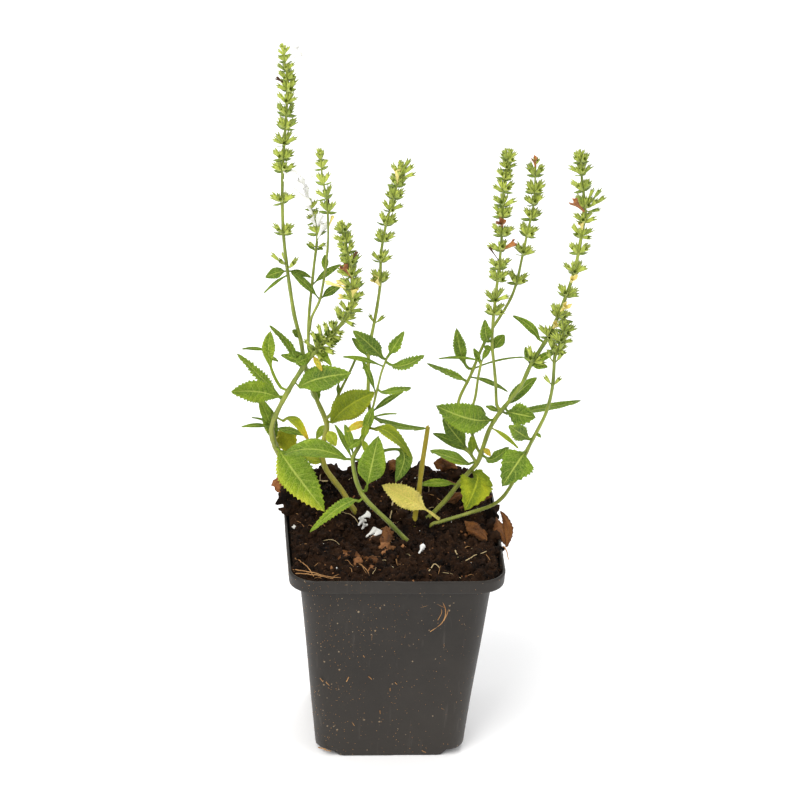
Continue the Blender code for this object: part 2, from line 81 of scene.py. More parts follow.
camera_data = bpy.data.cameras.new("camera")
camera_data.sensor_width = SENSOR
camera_data.lens = LENS
camera_data.clip_start = 0.05
camera = add_object("camera", camera_data)
camera_right = CAMERA_FORWARD.cross(CAMERA_UP).normalized()
camera_turn = Matrix((camera_right, camera_right.cross(CAMERA_FORWARD), -CAMERA_FORWARD)).transposed()
camera.matrix_world = Matrix.Translation(CAMERA_PLACE) @ camera_turn.to_4x4()
bpy.context.scene.camera = camera
print("camera looks down by", round(math.degrees(math.asin(-CAMERA_FORWARD.z)), 1), "degrees")


# %% Lights and world
def area_light(name, place, target, size, watts, colour=(1.0, 1.0, 1.0)):
    """A square soft light that looks at a point."""
    data = bpy.data.lights.new(name, "AREA")
    data.size = size
    data.energy = watts
    data.color = colour
    made = add_object(name, data)
    made.location = place
    made.rotation_euler = (Vector(target) - Vector(place)).to_track_quat("-Z", "Y").to_euler()


PLANT_MIDDLE = (0.0, 0.0, 0.15)
area_light("key_light", (-0.9, -1.0, 1.5), PLANT_MIDDLE, 1.5, 36.0, (1.0, 0.985, 0.96))
area_light("fill_light", (1.2, -0.9, 0.9), PLANT_MIDDLE, 1.2, 8.0)
area_light("rim_light", (0.3, 1.3, 1.2), PLANT_MIDDLE, 0.9, 14.0)

world = bpy.data.worlds.new("studio")
bpy.context.scene.world = world
world.use_nodes = True
world.node_tree.nodes["Background"].inputs["Color"].default_value = (1.0, 1.0, 1.0, 1.0)
world.node_tree.nodes["Background"].inputs["Strength"].default_value = 0.68
bpy.context.scene.view_settings.view_transform = "Standard"


# %% Floor
def new_mesh_object(name, vertices, faces, finish=None, smooth=True):
    """A mesh object at the origin, with its place in its mesh."""
    mesh = bpy.data.meshes.new(name)
    mesh.from_pydata([tuple(v) for v in vertices], [], faces)
    mesh.validate()
    mesh.update()
    if finish:
        mesh.materials.append(finish)
    if smooth:
        mesh.shade_smooth()
    return add_object(name, mesh)


FLOOR_HALF = 6.0
floor_finish = bpy.data.materials.new("studio_floor")
floor_finish.use_nodes = True
floor_shader = floor_finish.node_tree.nodes["Principled BSDF"]
floor_shader.inputs["Base Color"].default_value = (0.93, 0.93, 0.935, 1.0)
floor_shader.inputs["Roughness"].default_value = 0.85
floor = new_mesh_object(
    "studio_floor",
    [(-FLOOR_HALF, -FLOOR_HALF, 0.0), (FLOOR_HALF, -FLOOR_HALF, 0.0),
     (FLOOR_HALF, FLOOR_HALF, 0.0), (-FLOOR_HALF, FLOOR_HALF, 0.0)],
    [(0, 1, 2, 3)], floor_finish, smooth=False)
print("floor is", 2 * FLOOR_HALF, "m square")

# %% [markdown]
# ## Measuring the frame
#
# Stems and spikes are tubes, and leaves are thin blades, so each solid is a row of rings of vertices.
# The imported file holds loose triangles. Merging them gives back the connections, and then the rings come
# off one after another: from one end's ring, the next ring is every neighbour not met before. A start
# ring is right only if all rings that follow have the same number of vertices.


# %% Rings of a solid
def merged_copy(node):
    """A scratch bmesh of a CAD node with its loose triangles joined up."""
    bm = bmesh.new()
    bm.from_mesh(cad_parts[node].data)
    bmesh.ops.remove_doubles(bm, verts=bm.verts[:], dist=2e-6)
    bm.verts.index_update()
    bm.verts.ensure_lookup_table()
    return bm


def in_order(vertices):
    """Vertices of a set in the order of their indices, so that every run measures alike."""
    return sorted(vertices, key=lambda v: v.index)


def peel(first, total):
    """Rings of vertices from a first ring on, or None if they don't stay alike."""
    rings, met = [in_order(first)], set(first)
    while len(met) < total:
        step = {e.other_vert(v) for v in rings[-1] for e in v.link_edges} - met
        if len(step) != len(first):
            return None
        rings.append(in_order(step))
        met |= step
    return rings


def flat_patches(bm, size):
    """Sets of vertices that make a flat end of the wanted size."""
    for seed in bm.faces:
        patch, queue = {seed}, [seed]
        while queue:
            for edge in queue.pop().edges:
                for face in edge.link_faces:
                    if face not in patch and face.normal.dot(seed.normal) > 0.99999:
                        patch.add(face)
                        queue.append(face)
        corners = {v for face in patch for v in face.verts}
        if len(corners) == size:
            yield corners


def near_groups(bm, size):
    """Each vertex with its nearest others, the tightest groups first."""
    places = np.array([v.co[:] for v in bm.verts])
    groups = []
    for place in places:
        far = np.linalg.norm(places - place, axis=1)
        order = np.argsort(far)[:size]
        groups.append((far[order[-1]], sorted(order)))
    for _, group in sorted(groups, key=lambda g: g[0]):
        yield {bm.verts[int(i)] for i in group}


def rings_of(node, size):
    """The rings of a tube or a blade, as arrays of places."""
    bm = merged_copy(node)
    for finder in (flat_patches, near_groups):
        for first in finder(bm, size):
            rings = peel(first, len(bm.verts))
            if rings:
                found = [np.array([v.co[:] for v in ring]) for ring in rings]
                bm.free()
                return found
    raise RuntimeError("no rings found in " + node)


# %% Stems and spikes as centrelines
STEM_NODES = sorted(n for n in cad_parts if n.startswith("stem_") or n == "cut_stub")
SPIKE_NODES = sorted(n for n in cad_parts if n.startswith("spike_"))
LEAF_NODES = sorted(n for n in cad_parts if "leaf_" in n)


def centreline(node, size):
    """Centres and radii of a tube's rings, from its lower end up."""
    rings = rings_of(node, size)
    if rings[0][:, 2].mean() > rings[-1][:, 2].mean():
        rings.reverse()
    centres = np.array([ring.mean(0) for ring in rings])
    radii = np.array([np.linalg.norm(r - c, axis=1).mean() for r, c in zip(rings, centres)])
    return centres, radii


tubes = {node: centreline(node, 4) for node in STEM_NODES}
tubes.update({node: centreline(node, 6) for node in SPIKE_NODES})
for node in STEM_NODES[:3] + SPIKE_NODES[:3]:
    print(node, len(tubes[node][0]), "rings, foot radius", round(tubes[node][1][0] / MM, 2), "mm")


# %% Leaves as three lines
def blade_lines(node):
    """Left edge, midrib and right edge of a leaf, from its stalk to its tip, and its upper side."""
    rings = rings_of(node, 6)
    widths = [np.ptp(ring @ np.linalg.svd(ring - ring.mean(0))[2][0]) for ring in (rings[0], rings[-1])]
    if widths[0] < widths[1]:
        rings.reverse()
    lines, last = [], None
    for ring in rings:
        across = np.linalg.svd(ring - ring.mean(0))[2][0]
        if last is not None and across @ last < 0:
            across = -across
        last = across
        ring = ring[np.argsort(ring @ across)]
        lines.append([ring[0:2].mean(0), ring[2:4].mean(0), ring[4:6].mean(0)])
    left, middle, right = np.array(lines).transpose(1, 0, 2)
    widest = int(np.argmax(np.linalg.norm(right - left, axis=1)))
    along = middle[min(widest + 1, len(middle) - 1)] - middle[max(widest - 1, 0)]
    up = 0.5 * (left[widest] + right[widest]) - middle[widest]
    if np.cross(right[widest] - left[widest], along) @ up < 0:
        left, right = right, left
    return left, middle, right


blades = {node: blade_lines(node) for node in LEAF_NODES}
print(len(tubes), "tubes and", len(blades), "blades measured;",
      "longest blade", round(max(np.linalg.norm(m[-1] - m[0]) for _, m, _ in blades.values()) / MM, 1), "mm")

# %% [markdown]
# ## Shared shader effects
#
# Nature never paints a surface in one colour. Every finish here is built from a few small effects:
# mottling in three sizes, dust, and the veins of a leaf. Each effect is one node group with named
# inputs, made once and placed in every material that needs it with that material's own values. The
# Principled shader itself stays in the material.


# %% Helpers for node groups
def new_group(name, inputs, outputs):
    """A shader node group with named sockets: (label, socket type, default)."""
    tree = bpy.data.node_groups.new(name, "ShaderNodeTree")
    for label, kind, default in inputs:
        socket = tree.interface.new_socket(label, in_out="INPUT", socket_type="NodeSocket" + kind)
        if default is not None:
            socket.default_value = default
    for label, kind in outputs:
        tree.interface.new_socket(label, in_out="OUTPUT", socket_type="NodeSocket" + kind)
    return tree, tree.nodes.new("NodeGroupInput"), tree.nodes.new("NodeGroupOutput")


def put(tree, kind, settings=None, **inputs):
    """Add a node, set its options, and set or link its inputs by label."""
    node = tree.nodes.new(kind)
    for key, value in (settings or {}).items():
        setattr(node, key, value)
    for label, value in inputs.items():
        socket = node.inputs[int(label[1:])] if label[0] == "_" else node.inputs[label.replace("_", " ")]
        if isinstance(value, bpy.types.NodeSocket):
            tree.links.new(value, socket)
        else:
            socket.default_value = value
    return node


def maths(tree, operation, a, b=0.0, c=0.0, clamp=False):
    """One Math node's result."""
    return put(tree, "ShaderNodeMath", {"operation": operation, "use_clamp": clamp}, _0=a, _1=b,
               _2=c).outputs[0]


def mix_colour(tree, factor, a, b, blend="MIX"):
    """A colour between two colours."""
    return put(tree, "ShaderNodeMix", {"data_type": "RGBA", "blend_type": blend}, _0=factor, _6=a,
               _7=b).outputs[2]


def noise_at(tree, vector, scale, detail=3.0, roughness=0.55):
    """A noise texture's value."""
    return put(tree, "ShaderNodeTexNoise", Vector=vector, Scale=scale, Detail=detail,
               Roughness=roughness).outputs["Fac"]


def between(tree, value, low, high, to_low=0.0, to_high=1.0):
    """Map a range to another range, held at its ends."""
    return put(tree, "ShaderNodeMapRange", Value=value, From_Min=low, From_Max=high, To_Min=to_low,
               To_Max=to_high).outputs["Result"]


def times(tree, a, b):
    """A product."""
    return maths(tree, "MULTIPLY", a, b)


def first(tree, kind, settings=None, **inputs):
    """Add a node and give back its first output."""
    return put(tree, kind, settings, **inputs).outputs[0]


def chance(tree, low, high, seed):
    """A random number for each element."""
    return put(tree, "FunctionNodeRandomValue", _2=low, _3=high, Seed=seed).outputs[1]


print("node helpers ready")

# %% Effect: mottling
mottle, m_in, m_out = new_group(
    "mottle",
    [("Dark", "Color", (0.1, 0.1, 0.1, 1)), ("Light", "Color", (0.5, 0.5, 0.5, 1)),
     ("Scale", "Float", 300.0), ("Contrast", "Float", 0.5),
     ("Stretch", "Float", 1.0)],
    [("Color", "Color"), ("Mask", "Float"), ("Height", "Float")])
m_place = mottle.nodes.new("ShaderNodeTexCoord").outputs["Object"]
m_squeeze = put(mottle, "ShaderNodeCombineXYZ", X=1.0, Y=1.0, Z=m_in.outputs["Stretch"])
m_vector = first(mottle, "ShaderNodeVectorMath", {"operation": "MULTIPLY"}, _0=m_place,
                 _1=m_squeeze.outputs[0])
m_broad = noise_at(mottle, m_vector, times(mottle, m_in.outputs["Scale"], 0.16), 3.0)
m_fine = noise_at(mottle, m_vector, m_in.outputs["Scale"], 4.0, 0.6)
m_sum = maths(mottle, "MULTIPLY_ADD", m_broad, 0.62, times(mottle, m_fine, 0.38))
m_low = maths(mottle, "MULTIPLY_ADD", m_in.outputs["Contrast"], 0.30, 0.18)
m_mask = between(mottle, m_sum, m_low, maths(mottle, "SUBTRACT", 1.0, m_low))
mottle.links.new(mix_colour(mottle, m_mask, m_in.outputs["Dark"], m_in.outputs["Light"]),
                 m_out.inputs["Color"])
mottle.links.new(m_mask, m_out.inputs["Mask"])
mottle.links.new(m_fine, m_out.inputs["Height"])
print("mottle has", len(mottle.nodes), "nodes")

# %% Effect: specks of dust
specks, s_in, s_out = new_group(
    "specks",
    [("Scale", "Float", 400.0), ("Amount", "Float", 0.3),
     ("Size", "Float", 0.25)],
    [("Mask", "Float")])
s_place = specks.nodes.new("ShaderNodeTexCoord").outputs["Object"]
s_warp = put(specks, "ShaderNodeTexNoise", Vector=s_place, Scale=900.0, Detail=2.0)
s_vector = first(specks, "ShaderNodeVectorMath", {"operation": "MULTIPLY_ADD"}, _0=s_warp.outputs["Color"],
                 _1=(0.0009, 0.0009, 0.0009), _2=s_place)
s_cells = put(specks, "ShaderNodeTexVoronoi", Vector=s_vector, Scale=s_in.outputs["Scale"])
s_pick = put(specks, "ShaderNodeSeparateColor", Color=s_cells.outputs["Color"])
s_chosen = maths(specks, "LESS_THAN", s_pick.outputs[0], s_in.outputs["Amount"])
s_radius = times(specks, s_in.outputs["Size"], maths(specks, "MULTIPLY_ADD", s_pick.outputs[1], 0.8, 0.3))
s_dot = between(specks, s_cells.outputs["Distance"], s_radius, times(specks, s_radius, 0.55))
s_mask = times(specks, s_dot, s_chosen)
specks.links.new(s_mask, s_out.inputs["Mask"])
print("specks has", len(specks.nodes), "nodes")

# %% [markdown]
# The veins of a sage leaf follow the blade, so they can't come from plain space coordinates. Every blade
# gets a UV map of its own: U runs across from margin to margin and V along from stalk to tip. Side veins
# start at the midrib and sweep forward, so the pattern is a set of stripes in V minus a share of the
# distance from the midrib. Between them the leaf is pebbled, which comes from a cell texture.

# %% Effect: leaf veins and pebbling
BLADE_MAP = "blade"
veins, v_in, v_out = new_group(
    "leaf_veins",
    [("Pairs", "Float", 9.0), ("Pebble Scale", "Float", 900.0)],
    [("Midrib", "Float"), ("Veins", "Float"), ("Pebbles", "Float"),
     ("Margin", "Float")])
v_map = put(veins, "ShaderNodeUVMap", {"uv_map": BLADE_MAP}).outputs["UV"]
v_parts = put(veins, "ShaderNodeSeparateXYZ", Vector=v_map)
v_object = veins.nodes.new("ShaderNodeTexCoord").outputs["Object"]
v_wander = maths(veins, "MULTIPLY_ADD", noise_at(veins, v_object, 260.0, 2.0), 0.10, -0.05)
v_side = maths(veins, "ABSOLUTE", maths(veins, "MULTIPLY_ADD", v_parts.outputs[0], 2.0, -1.0))
v_front = maths(veins, "SUBTRACT", maths(veins, "ADD", v_parts.outputs[1], v_wander),
                times(veins, v_side, 0.17))
v_stripe = maths(veins, "PINGPONG", times(veins, v_front, v_in.outputs["Pairs"]), 0.5)
v_vein = between(veins, v_stripe, 0.10, 0.02)
v_fade = between(veins, v_side, 0.97, 0.55, 0.15, 1.0)
v_mid = between(veins, v_side, 0.08, 0.025)
v_cells = put(veins, "ShaderNodeTexVoronoi", {"feature": "DISTANCE_TO_EDGE"}, Vector=v_object,
              Scale=v_in.outputs["Pebble Scale"])
v_pebble = between(veins, v_cells.outputs["Distance"], 0.0, 0.22)
veins.links.new(v_mid, v_out.inputs["Midrib"])
veins.links.new(times(veins, v_vein, v_fade), v_out.inputs["Veins"])
veins.links.new(v_pebble, v_out.inputs["Pebbles"])
veins.links.new(v_side, v_out.inputs["Margin"])
print("leaf_veins has", len(veins.nodes), "nodes")


# %% Helpers for materials
def new_finish(name, roughness, specular=0.35, sheen=0.0):
    """A Principled material, with the values that don't vary set on its own sockets."""
    made = bpy.data.materials.new(name)
    made.use_nodes = True
    shader = made.node_tree.nodes["Principled BSDF"]
    shader.inputs["Roughness"].default_value = roughness
    shader.inputs["Specular IOR Level"].default_value = specular
    shader.inputs["Sheen Weight"].default_value = sheen
    return made, made.node_tree, shader


def use_group(tree, group, **values):
    """Place a shader group and set its inputs by label."""
    return put(tree, "ShaderNodeGroup", {"node_tree": group}, **values)


def bump(tree, shader, height, strength, distance, normal=None):
    """Relief on the shader's normal. Returns the normal so another can follow."""
    node = put(tree, "ShaderNodeBump", Height=height, Strength=strength, Distance=distance)
    if normal:
        tree.links.new(normal, node.inputs["Normal"])
    tree.links.new(node.outputs["Normal"], shader.inputs["Normal"])
    return node.outputs["Normal"]


def colour_ramp(tree, factor, stops):
    """A ramp through (place, colour) stops."""
    node = put(tree, "ShaderNodeValToRGB", Fac=factor)
    ramp = node.color_ramp
    while len(ramp.elements) < len(stops):
        ramp.elements.new(0.5)
    for element, (place, colour) in zip(ramp.elements, stops):
        element.position = place
        element.color = (*colour, 1.0)
    return node.outputs["Color"]


print("material helpers ready")

# %% [markdown]
# ## Leaf finishes
#
# A sage leaf ages from deep green to yellow-green, then yellow, then brown, and it starts at the margin.
# Each blade carries an age at every vertex, and one ramp turns age into colour, so a leaf that is green
# in the middle and yellow at its edge needs no picture. The underside is paler, which the sheet's own
# lower face says with an attribute.


# %% Living leaves
def leaf_finish(name, stops, roughness, vein_tone=(0.50, 0.58, 0.11), under_tone=(0.34, 0.43, 0.11)):
    """A leaf material whose colour follows the age painted on the mesh."""
    made, tree, shader = new_finish(name, roughness, specular=0.20)
    age = put(tree, "ShaderNodeAttribute", {"attribute_name": "age"}).outputs["Fac"]
    under = put(tree, "ShaderNodeAttribute", {"attribute_name": "under"}).outputs["Fac"]
    spots = use_group(tree, mottle, Scale=420.0, Contrast=0.55)
    vein = use_group(tree, veins, Pairs=9.0, Pebble_Scale=1150.0)
    older = maths(tree, "ADD", age, maths(tree, "MULTIPLY_ADD", spots.outputs["Mask"], 0.20, -0.10))
    base = colour_ramp(tree, older, stops)
    dark = mix_colour(tree, times(tree, vein.outputs["Pebbles"], 0.45), base,
                      mix_colour(tree, 1.0, base, (0.42, 0.56, 0.36, 1.0), "MULTIPLY"))
    net = maths(tree, "MULTIPLY_ADD", vein.outputs["Pebbles"], -0.22, 0.22)
    shaded = mix_colour(tree, net, dark, (*vein_tone, 1.0))
    side_vein = times(tree, vein.outputs["Veins"], 0.34)
    veined = mix_colour(tree, side_vein, shaded, (*vein_tone, 1.0))
    ribbed = mix_colour(tree, times(tree, vein.outputs["Midrib"], 0.72), veined, (*vein_tone, 1.0))
    paler = mix_colour(tree, times(tree, under, 0.42), ribbed, (*under_tone, 1.0))
    tree.links.new(paler, shader.inputs["Base Color"])
    relief = maths(tree, "SUBTRACT", vein.outputs["Pebbles"], times(tree, vein.outputs["Veins"], 0.8))
    first = bump(tree, shader, relief, 0.85, 0.00035)
    bump(tree, shader, noise_at(tree, tree.nodes.new("ShaderNodeTexCoord").outputs["Object"], 2600.0),
         0.25, 0.0001, first)
    return made


GREEN_TO_BROWN = [(0.0, (0.066, 0.138, 0.010)), (0.22, (0.170, 0.280, 0.012)),
                  (0.42, (0.305, 0.400, 0.014)), (0.62, (0.58, 0.60, 0.045)),
                  (0.80, (0.82, 0.52, 0.05)), (0.95, (0.30, 0.11, 0.03))]
leaf_green = leaf_finish("leaf_green", GREEN_TO_BROWN, 0.52)
leaf_yellow = leaf_finish(
    "leaf_yellow", [(0.0, (0.130, 0.190, 0.008)), (0.25, (0.245, 0.300, 0.010)),
                    (0.50, (0.52, 0.52, 0.02)), (0.72, (0.80, 0.55, 0.03)),
                    (0.92, (0.34, 0.13, 0.02))], 0.55, (0.42, 0.46, 0.03), (0.34, 0.38, 0.035))
leaf_straw = leaf_finish(
    "leaf_straw", [(0.0, (0.60, 0.60, 0.09)), (0.35, (0.84, 0.70, 0.16)), (0.65, (0.90, 0.76, 0.26)),
                   (0.95, (0.24, 0.11, 0.03))], 0.6, (0.78, 0.64, 0.16), (0.78, 0.66, 0.18))
leaf_brown = leaf_finish(
    "leaf_brown", [(0.0, (0.22, 0.080, 0.018)), (0.35, (0.13, 0.042, 0.010)), (0.65, (0.055, 0.018, 0.005)),
                   (1.0, (0.27, 0.13, 0.05))], 0.75, (0.20, 0.09, 0.03), (0.24, 0.12, 0.05))
print("leaf finishes:", [m.name for m in (leaf_green, leaf_yellow, leaf_straw, leaf_brown)])


# %% Stems, calyxes and petals
def plant_finish(name, dark, light, roughness, scale, stretch, relief, sheen=0.15):
    """A mottled plant skin with fine lengthwise streaks."""
    made, tree, shader = new_finish(name, roughness, specular=0.3, sheen=sheen)
    skin = use_group(tree, mottle, Dark=(*dark, 1), Light=(*light, 1), Scale=scale, Contrast=0.6,
                     Stretch=stretch)
    tree.links.new(skin.outputs["Color"], shader.inputs["Base Color"])
    bump(tree, shader, skin.outputs["Height"], 0.4, relief)
    return made, tree, shader, skin


stem_skin, stem_tree, stem_shader, stem_mottle = plant_finish(
    "stem_skin", (0.075, 0.115, 0.008), (0.27, 0.32, 0.045), 0.48, 700.0, 0.22, 0.0002)
old_part = put(stem_tree, "ShaderNodeAttribute", {"attribute_name": "age"}).outputs["Fac"]
stem_warm = mix_colour(stem_tree, times(stem_tree, old_part, stem_mottle.outputs["Mask"]),
                       stem_mottle.outputs["Color"], (0.42, 0.26, 0.02, 1.0))
stem_tree.links.new(stem_warm, stem_shader.inputs["Base Color"])

calyx_skin, calyx_tree, calyx_shader, calyx_mottle = plant_finish(
    "calyx_skin", (0.090, 0.150, 0.010), (0.36, 0.43, 0.060), 0.5, 900.0, 0.6, 0.00015)
calyx_tint = put(calyx_tree, "ShaderNodeAttribute", {"attribute_name": "tint"}).outputs["Fac"]
# the depth attribute is painted shade: the inside of the bell is darkened towards deep green
calyx_inside_shade = put(calyx_tree, "ShaderNodeAttribute", {"attribute_name": "depth"}).outputs["Fac"]
calyx_bright = mix_colour(calyx_tree, times(calyx_tree, calyx_tint, 0.62), calyx_mottle.outputs["Color"],
                          (0.52, 0.58, 0.095, 1.0))
calyx_shaded_inside = mix_colour(calyx_tree, calyx_inside_shade, calyx_bright, (0.17, 0.23, 0.022, 1.0))
calyx_tree.links.new(calyx_shaded_inside, calyx_shader.inputs["Base Color"])

bract_skin = plant_finish("bract_skin", (0.085, 0.140, 0.012), (0.25, 0.33, 0.05), 0.5, 800.0, 0.6,
                          0.00015)[0]
petal_white = plant_finish("petal_white", (0.70, 0.69, 0.64), (0.93, 0.93, 0.92), 0.45, 700.0, 0.8,
                           0.0001)[0]
petal_yellow = plant_finish("petal_yellow", (0.62, 0.50, 0.09), (0.90, 0.80, 0.34), 0.5, 700.0, 0.8,
                            0.0001)[0]
petal_rust = plant_finish("petal_rust", (0.10, 0.025, 0.006), (0.50, 0.19, 0.05), 0.6, 900.0, 0.8,
                          0.00015)[0]
petal_dark = plant_finish("petal_dark", (0.025, 0.010, 0.004), (0.12, 0.045, 0.012), 0.7, 900.0, 0.8,
                          0.00015)[0]
stub_skin = plant_finish("stub_skin", (0.26, 0.20, 0.006), (0.44, 0.37, 0.035), 0.5, 500.0, 0.15,
                         0.0003)[0]
hair_skin = plant_finish("hair_skin", (0.50, 0.54, 0.30), (0.80, 0.82, 0.60), 0.5, 900.0, 1.0,
                         0.00005)[0]
print("plant finishes made:", len(bpy.data.materials) - 1)

# %% [markdown]
# ## Peat and plastic
#
# Moist peat is almost black in its hollows and red-brown on its crumbs. Nursery pots are moulded in
# recycled polypropylene: a warm dark grey, satin rather than matt, with dust dried on after watering,
# pale scuffs that run up and down, and a painted sheen that lightens the plastic towards the ground.


# %% Peat, chips and grit
def crumb_finish(name, dark, light, scale, contrast, roughness=0.9, relief=0.0006, specular=0.12):
    """A crumbly finish: mottled twice over, with strong relief."""
    made, tree, shader = new_finish(name, roughness, specular=specular)
    crumb = use_group(tree, mottle, Dark=(*dark, 1), Light=(*light, 1), Scale=scale, Contrast=contrast)
    pale = use_group(tree, specks, Scale=scale * 1.1, Amount=0.10, Size=0.42)
    flecked = mix_colour(tree, times(tree, pale.outputs["Mask"], 0.55), crumb.outputs["Color"],
                         (0.16, 0.085, 0.04, 1.0))
    tree.links.new(flecked, shader.inputs["Base Color"])
    bump(tree, shader, crumb.outputs["Height"], 0.8, relief)
    return made


peat = crumb_finish("peat", (0.0030, 0.0014, 0.0007), (0.026, 0.0112, 0.0045), 900.0, 0.75)
peat_light = crumb_finish("peat_light", (0.010, 0.005, 0.0025), (0.060, 0.028, 0.013), 1100.0, 0.7)
clod_rust = crumb_finish("clod_rust", (0.10, 0.030, 0.009), (0.36, 0.15, 0.05), 800.0, 0.6)
bark = crumb_finish("bark", (0.085, 0.030, 0.010), (0.36, 0.17, 0.07), 700.0, 0.6, 0.8)
coir = crumb_finish("coir", (0.20, 0.085, 0.030), (0.52, 0.29, 0.12), 900.0, 0.5, 0.75, 0.0002)
root_pale = crumb_finish("root_pale", (0.34, 0.25, 0.12), (0.66, 0.53, 0.30), 900.0, 0.5, 0.6, 0.0002)
perlite = crumb_finish("perlite", (0.62, 0.60, 0.55), (0.92, 0.91, 0.88), 900.0, 0.4, 0.7)
print("crumb finishes made")

# %% Pot plastic
pot_plastic, pot_tree, pot_shader = new_finish("pot_plastic", 0.42, specular=0.28)
pot_place = pot_tree.nodes.new("ShaderNodeTexCoord").outputs["Object"]
pot_axes = put(pot_tree, "ShaderNodeSeparateXYZ", Vector=pot_place)
pot_cloud = use_group(pot_tree, mottle, Dark=(0.010, 0.0082, 0.0065, 1), Light=(0.026, 0.0215, 0.0175, 1),
                      Scale=160.0, Contrast=0.25)
# painted sheen: the plastic's colour is lightened towards the bottom of the pot
pot_share = between(pot_tree, pot_axes.outputs[2], 0.0, 0.092)
pot_painted_sheen = mix_colour(pot_tree, between(pot_tree, pot_share, 0.75, 0.1, 0.0, 0.55),
                       pot_cloud.outputs["Color"], (0.034, 0.029, 0.024, 1.0))
pot_streak = noise_at(pot_tree,
                      first(pot_tree, "ShaderNodeVectorMath", {"operation": "MULTIPLY"}, _0=pot_place,
                            _1=(330.0, 330.0, 16.0)), 1.0, 4.0)
pot_scuffed = mix_colour(pot_tree, between(pot_tree, pot_streak, 0.63, 0.78, 0.0, 0.30), pot_painted_sheen,
                         (0.10, 0.086, 0.073, 1.0))
left_more = between(pot_tree, pot_axes.outputs[0], 0.03, -0.04, 0.035, 0.15)
dust_fine = use_group(pot_tree, specks, Scale=620.0, Amount=left_more, Size=0.30)
dust_coarse = use_group(pot_tree, specks, Scale=260.0, Amount=times(pot_tree, left_more, 0.8), Size=0.16)
dust_all = maths(pot_tree, "MAXIMUM", dust_fine.outputs["Mask"], dust_coarse.outputs["Mask"])
dust_tone = mix_colour(pot_tree, pot_cloud.outputs["Mask"], (0.22, 0.13, 0.06, 1.0),
                       (0.42, 0.33, 0.22, 1.0))
pot_dusty = mix_colour(pot_tree, times(pot_tree, dust_all, 0.72), pot_scuffed, dust_tone)
pot_tree.links.new(pot_dusty, pot_shader.inputs["Base Color"])
pot_dull = maths(pot_tree, "MULTIPLY_ADD", pot_cloud.outputs["Height"], 0.20, 0.36)
pot_tree.links.new(maths(pot_tree, "MAXIMUM", pot_dull, times(pot_tree, dust_all, 0.85)),
                   pot_shader.inputs["Roughness"])
pot_grain = bump(pot_tree, pot_shader, noise_at(pot_tree, pot_place, 1500.0, 3.0), 0.12, 0.0002)
bump(pot_tree, pot_shader, dust_all, 0.5, 0.0004, pot_grain)
print("pot plastic has", len(pot_tree.nodes), "nodes")

# %% [markdown]
# ## Stems
#
# Sage stems are square with grooved faces, a little swollen where leaves join, and covered in fine
# pale hairs. A stem follows a rule, a profile swept along a line, so Geometry Nodes make it: the base
# mesh is only a line of points that carry a thickness and an age. The lines come from the frame's rings,
# run on through the flower spike, and are lengthened at the foot into the soil or the parent stem, so
# that nothing floats.


# %% Lines through the frame's rings
def smooth_line(points, step):
    """Places a step apart on a smooth curve through the points, and where each lies among them."""
    points = np.asarray(points, float)
    padded = np.vstack([2 * points[0] - points[1], points, 2 * points[-1] - points[-2]])
    places, where = [], []
    for i in range(len(points) - 1):
        a, b, c, d = padded[i:i + 4]
        count = max(1, int(round(np.linalg.norm(c - b) / step)))
        for t in np.arange(count) / count:
            places.append(0.5 * (2 * b + (c - a) * t + (2 * a - 5 * b + 4 * c - d) * t * t
                                 + (3 * b - a - 3 * c + d) * t ** 3))
            where.append(i + t)
    places.append(points[-1])
    where.append(len(points) - 1.0)
    return np.array(places), np.array(where)


def thinned(points, values, apart):
    """Drop points that crowd the one before, but keep both ends."""
    kept = [0]
    for i in range(1, len(points) - 1):
        if np.linalg.norm(points[i] - points[kept[-1]]) > apart:
            kept.append(i)
    if np.linalg.norm(points[-1] - points[kept[-1]]) < 0.6 * apart and len(kept) > 1:
        kept.pop()
    kept.append(len(points) - 1)
    return points[kept], values[kept]


def axis_radii(radii):
    """A spike's radii with its whorls left out."""
    slim = radii.copy()
    for i in range(1, len(radii) - 1):
        if radii[i] > 1.3 * radii[i - 1] and radii[i] > 1.3 * radii[i + 1]:
            slim[i] = 0.5 * (radii[i - 1] + radii[i + 1])
    return slim


def nearest_on(line, place):
    """Index of the point of a line nearest to a place, and how far it is."""
    far = np.linalg.norm(line - place, axis=1)
    return int(np.argmin(far)), float(far.min())


POT_LOW, POT_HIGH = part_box("pot")
SIDE_STEM_ABOVE = POT_HIGH.z + 20 * MM
raw_lines = {node: smooth_line(tubes[node][0], 1.0 * MM)[0] for node in STEM_NODES}
stem_lines = {}
for node in STEM_NODES:
    centres, radii = tubes[node]
    spike = node.replace("stem", "spike")
    if spike in tubes:
        centres = np.vstack([centres, tubes[spike][0]])
        radii = np.concatenate([radii, axis_radii(tubes[spike][1])])
    centres, radii = thinned(centres, radii, 3.0 * MM)
    foot, outward = centres[0], centres[0] - centres[1]
    outward = outward / np.linalg.norm(outward)
    if foot[2] > SIDE_STEM_ABOVE:
        parents = {other: nearest_on(line, foot) for other, line in raw_lines.items() if other != node}
        parent = min(parents, key=lambda other: parents[other][1])
        root = [raw_lines[parent][max(parents[parent][0] - 1, 0)]]
    else:
        root = [foot + outward * 7 * MM - np.array([0, 0, 4 * MM]), foot + outward * 3 * MM]
    centres = np.vstack([root, centres])
    radii = np.concatenate([[radii[0]] * len(root), radii])
    line, where = smooth_line(centres, 1.1 * MM)
    stem_lines[node] = (line, np.interp(where, np.arange(len(radii)), radii))
print(len(stem_lines), "stem lines,", sum(len(line) for line, _ in stem_lines.values()), "points")


